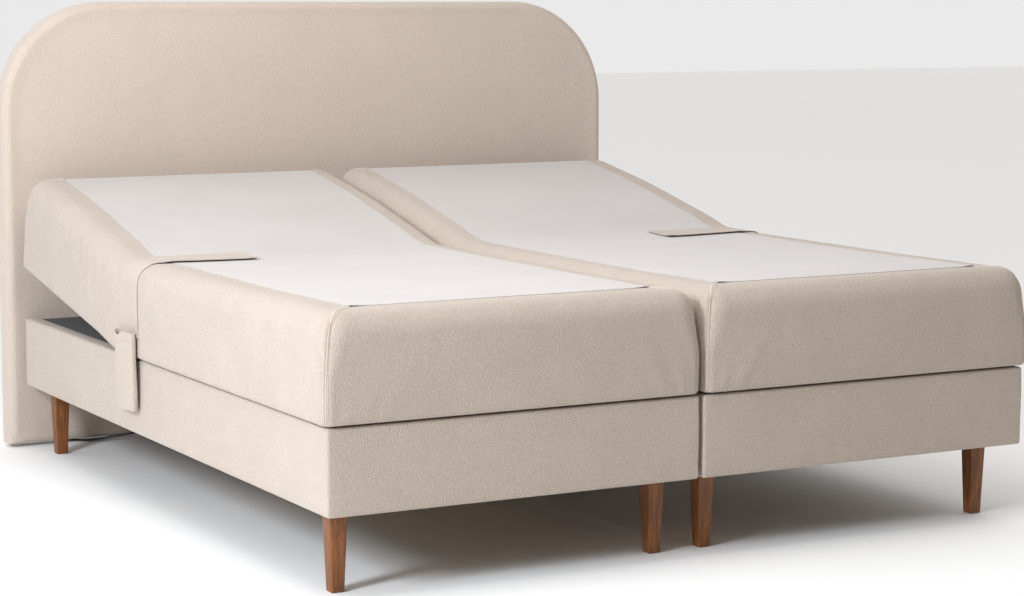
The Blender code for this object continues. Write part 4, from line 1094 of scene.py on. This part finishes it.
def hand_control(name, low, high, side):
    """The case as a rounded slab with a parting groove, and the keys on its outer face."""
    thick, wide, tall = high.x - low.x - 0.001, high.y - low.y, high.z - low.z
    middle = ((low.x + high.x) / 2, (low.y + high.y) / 2, (low.z + high.z) / 2)
    stations = [(-1.0, 0.72), (-0.985, 0.86), (-0.94, 0.95), (-0.80, 0.995)]
    stations += [(-0.1, 1.0), (-0.03, 1.0), (-0.015, 0.975)]
    stations += [(-x, size) for x, size in stations[::-1]]
    points = []
    for x_share, size in stations:
        drawn_in = (1 - size) * 0.010
        for k in range(CASE_SIDES):
            a = 2 * math.pi * k / CASE_SIDES
            c, s = math.cos(a), math.sin(a)
            y = wide / 2 * math.copysign(abs(c) ** 0.42, c)
            z = tall / 2 * math.copysign(abs(s) ** 0.30, s)
            y -= math.copysign(drawn_in, y) if abs(y) > 1e-6 else 0
            z -= math.copysign(drawn_in, z) if abs(z) > 1e-6 else 0
            narrowed = 1 - 0.06 * (z < 0) * abs(z) / tall
            points.append((middle[0] + x_share * thick / 2, middle[1] + y * narrowed, middle[2] + z))
    case = mesh_piece(name, points, closed_rings(len(stations), CASE_SIDES), case_plastic)
    key_line = [(0.0, 0.0068), (0.0004, 0.0068), (0.0007, 0.0062), (0.0008, 0.0040), (0.00075, 0.0010)]
    key_x = middle[0] + side * (thick / 2 - 0.0004)
    keys = []
    for row in range(3):
        for column in (-1, 1):
            centre = (key_x, middle[1] + column * KEY_APART, middle[2] + tall / 2 - KEY_TOP - row * KEY_ROW)
            keys.append(turned(f"{name}_key_{len(keys) + 1}", key_line, key_rubber, centre, (side, 0, 0), 28))
    return case, keys


for unit, side in UNITS.items():
    case, keys = hand_control(unit + "_hand_control", *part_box(unit + "_handset"), side)
    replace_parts(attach(case, unit + "_handset"), unit + "_handset")
    for key in keys:
        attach(key, unit + "_handset")

# ---------------------------------------------------------------- deck cloths
# Black spun fabric closes each box inside the rim. It is stretched, stapled round its edge
# and cut open over the mechanism with a folded hem.
DECK_HOLE_X = 0.33
DECK_HOLE_FOOT, DECK_HOLE_HEAD = FOOT_Y + 0.56, FOOT_Y + 1.50
DECK_THICK, DECK_SAG = 0.0011, 0.0011
DECK_LOOPS = (0, 0.01, 0.03, 0.08, 0.2, 0.35, 0.5, 0.65, 0.8, 0.9, 0.96, 0.99, 1.0)

deck_light, deck_dark = (0.052, 0.051, 0.054), (0.026, 0.026, 0.028)
deck_black = fabric("deck_spun_cloth", deck_light, deck_dark, 420.0, 1300.0, 0.5, 0.0008, 0.1)


def deck_sheet(name, low, high, middle):
    """Loops from the outer edge to the opening, with a slight sag and hemmed edges."""
    outer = ((low.x, low.y), (high.x, low.y), (high.x, high.y), (low.x, high.y))
    left, right = middle - DECK_HOLE_X, middle + DECK_HOLE_X
    hole = ((left, DECK_HOLE_FOOT), (right, DECK_HOLE_FOOT), (right, DECK_HOLE_HEAD), (left, DECK_HOLE_HEAD))
    counts = (24, 60, 24, 60)
    top = high.z - 0.0005
    points = []
    for share in DECK_LOOPS:
        hemmed = 0.0002 * hump(share, 1, 0.02)
        for corner, count in enumerate(counts):
            following = (corner + 1) % 4
            for step in range(count):
                t = step / count
                a = [outer[corner][k] * (1 - t) + outer[following][k] * t for k in (0, 1)]
                b = [hole[corner][k] * (1 - t) + hole[following][k] * t for k in (0, 1)]
                x, y = (a[k] * (1 - share) + b[k] * share for k in (0, 1))
                staples = 0.0003 * math.sin(math.pi * t * count) * math.exp(-share * 60)
                sag = DECK_SAG * math.sin(math.pi * share) * (0.6 + 0.4 * math.sin(9 * x + 5 * y))
                points.append((x, y, top - sag + staples + hemmed))
    count, total = sum(counts), len(points)
    points += [(x, y, max(z - DECK_THICK, low.z)) for x, y, z in points]
    upper = ring_faces(len(DECK_LOOPS), count)
    faces = upper + [tuple(v + total for v in quad[::-1]) for quad in upper]
    last = total - count
    for k in range(count):
        n = (k + 1) % count
        faces.append((n, k, k + total, n + total))
        faces.append((last + k, last + n, last + n + total, last + k + total))
    return mesh_piece(name, points, faces, deck_black)


for unit, side in UNITS.items():
    node = unit + "_deck_cloth"
    low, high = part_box(node)
    deck = deck_sheet(unit + "_deck_sheet", low, high, side * UNIT_MIDDLE)
    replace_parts(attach(deck, "root"), node)

# ---------------------------------------------------------------- headboard
# A plywood board with large round top corners. Foam and the same fabric cover its front, wrap
# its edge in a soft roll and are stapled on its back.
HEADBOARD_CORNER = 0.300
HEADBOARD_ROLL = 0.022
HEADBOARD_HEM = 0.030
HEADBOARD_TURN_IN = 0.0402
PAD_SHARES = (0.985, 0.96, 0.92, 0.86, 0.78, 0.68, 0.57, 0.46, 0.35, 0.24, 0.14, 0.06)

# The headboard's copy of the upholstery is painted lighter than the covers': painted light for the brighter
# light its front catches.
headboard_painted_light_pale, headboard_painted_light_deep = (0.625, 0.530, 0.453), (0.555, 0.466, 0.394)
headboard_painted_light_fabric = fabric(
    "headboard_upholstery_painted_lighter", headboard_painted_light_pale, headboard_painted_light_deep, 330.0, 1100.0, 0.6, 0.0014
)


def arched_outline(half, low, high, radius, steps):
    """The headboard's outline seen from the front, from its lower left, with outward ways."""
    line = [(x, low, 0, -1) for x in np.linspace(-half, half, 48)[:-1]]
    line += [(half, z, 1, 0) for z in np.linspace(low, high - radius, 28)[:-1]]
    bend = [math.radians(90 * k / steps) for k in range(steps)]
    right = [(math.cos(a), math.sin(a)) for a in bend]
    left = [(-s, c) for c, s in right]
    line += [(half - radius + radius * c, high - radius + radius * s, c, s) for c, s in right]
    line += [(x, high, 0, 1) for x in np.linspace(half - radius, radius - half, 36)[:-1]]
    line += [(radius - half + radius * c, high - radius + radius * s, c, s) for c, s in left]
    line += [(-half, z, -1, 0) for z in np.linspace(high - radius, low, 28)[:-1]]
    return line


def padded_headboard(name, low, high):
    """The padded front, rolled edge and turned-in back as one closed skin."""
    half, roll = high.x, HEADBOARD_ROLL
    front, back = low.y, high.y
    outline = arched_outline(half, low.z, high.z, HEADBOARD_CORNER, 30)
    inner_y = back - HEADBOARD_TURN_IN
    profile = [(HEADBOARD_HEM, inner_y), (HEADBOARD_HEM, back - 0.0008), (HEADBOARD_HEM - 0.001, back)]
    profile += [(0.004, back), (0.0012, back - 0.0012), (0.0, back - 0.004)]
    profile += [(0.0, back + (front + roll - back) * k / 5) for k in range(1, 5)]
    for k in range(9):
        a = math.radians(90 * k / 8)
        profile.append((roll - roll * math.cos(a), front + roll - roll * math.sin(a)))
    points = []
    for inset, y in profile:
        for x, z, wx, wz in outline:
            nx = max(min(x - wx * inset, half - inset), inset - half)
            points.append((nx, y, max(z - wz * inset, low.z + inset)))
    count = len(outline)
    centre_z = low.z + (high.z - low.z) * 0.45
    pad_edge = points[-count:]
    for share in PAD_SHARES:
        crown = -0.0030 * (1 - smooth_step(share, 0.80, 1.0))
        for x, _, z in pad_edge:
            nx, nz = x * share, centre_z + (z - centre_z) * share
            dent = 0.0012 * (math.sin(3.1 * nx + 1.0) * math.sin(4.3 * nz + 0.4) - 0.4)
            points.append((nx, front + 0.003 + crown + dent * (1 - share), nz))
    rings = len(profile) + len(PAD_SHARES)
    centre = len(points)
    points.append((0.0, inner_y, centre_z))
    faces = ring_faces(rings, count)
    faces.append(tuple(range(centre - count, centre)))
    faces += [(centre, (k + 1) % count, k) for k in range(count)]
    return mesh_piece(name, points, faces, headboard_painted_light_fabric)


headboard = padded_headboard("headboard_padded_front", *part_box("headboard_upholstery"))
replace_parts(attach(headboard, "root"), "headboard_upholstery")

# ---------------------------------------------------------------- frame and mechanism
# Pine box frames, plywood section boards, a black painted steel subframe with lift bails,
# plated pins, nylon glides and the grey twin drive keep their made shapes.
pine = wood("box_frame_pine", (0.74, 0.55, 0.34), (0.55, 0.35, 0.18), (26.0, 5.0, 60.0))
birch_ply = wood("section_board_ply", (0.66, 0.49, 0.31), (0.48, 0.32, 0.18), (6.0, 70.0, 180.0))
headboard_ply = wood("headboard_ply", (0.62, 0.46, 0.29), (0.45, 0.30, 0.17), (6.0, 120.0, 60.0))
paint_black, paint_worn = (0.028, 0.028, 0.030), (0.10, 0.10, 0.10)
black_paint = hard_finish("black_painted_steel", paint_black, paint_worn, 700.0, 0.35, 0.35, 0.5, 0.25)
zinc_clean, zinc_dull = (0.60, 0.61, 0.62), (0.45, 0.45, 0.44)
bright_zinc = hard_finish("zinc_plated_steel", zinc_clean, zinc_dull, 500.0, 0.5, 0.28, 0.45, 0.15, 1.0)
housing_grey, housing_rubbed = (0.085, 0.087, 0.092), (0.13, 0.13, 0.135)
drive_grey = hard_finish("drive_housing", housing_grey, housing_rubbed, 1100.0, 0.4, 0.5, 0.68, 0.3)
glide_nylon = hard_finish("glide_nylon", (0.80, 0.79, 0.74), (0.62, 0.60, 0.54), 800.0, 0.35, 0.35, 0.5, 0.1)
kept_finishes = {
    pine: ("box_frame",),
    birch_ply: ("back_frame", "seat_frame", "thigh_frame", "foot_frame"),
    black_paint: ("subframe", "back_bail", "thigh_bail"),
    bright_zinc: ("back_hinge_pin", "thigh_hinge_pin", "knee_pin"),
    drive_grey: ("drive",),
    glide_nylon: ("back_glide", "thigh_glide"),
}
for unit in UNITS:
    for material, names in kept_finishes.items():
        for name in names:
            nodes[f"{unit}_{name}"].material_slots[0].material = material
nodes["headboard_panel"].material_slots[0].material = headboard_ply
for name in ("headboard_rail", "unit_connector"):
    nodes[name].material_slots[0].material = black_paint
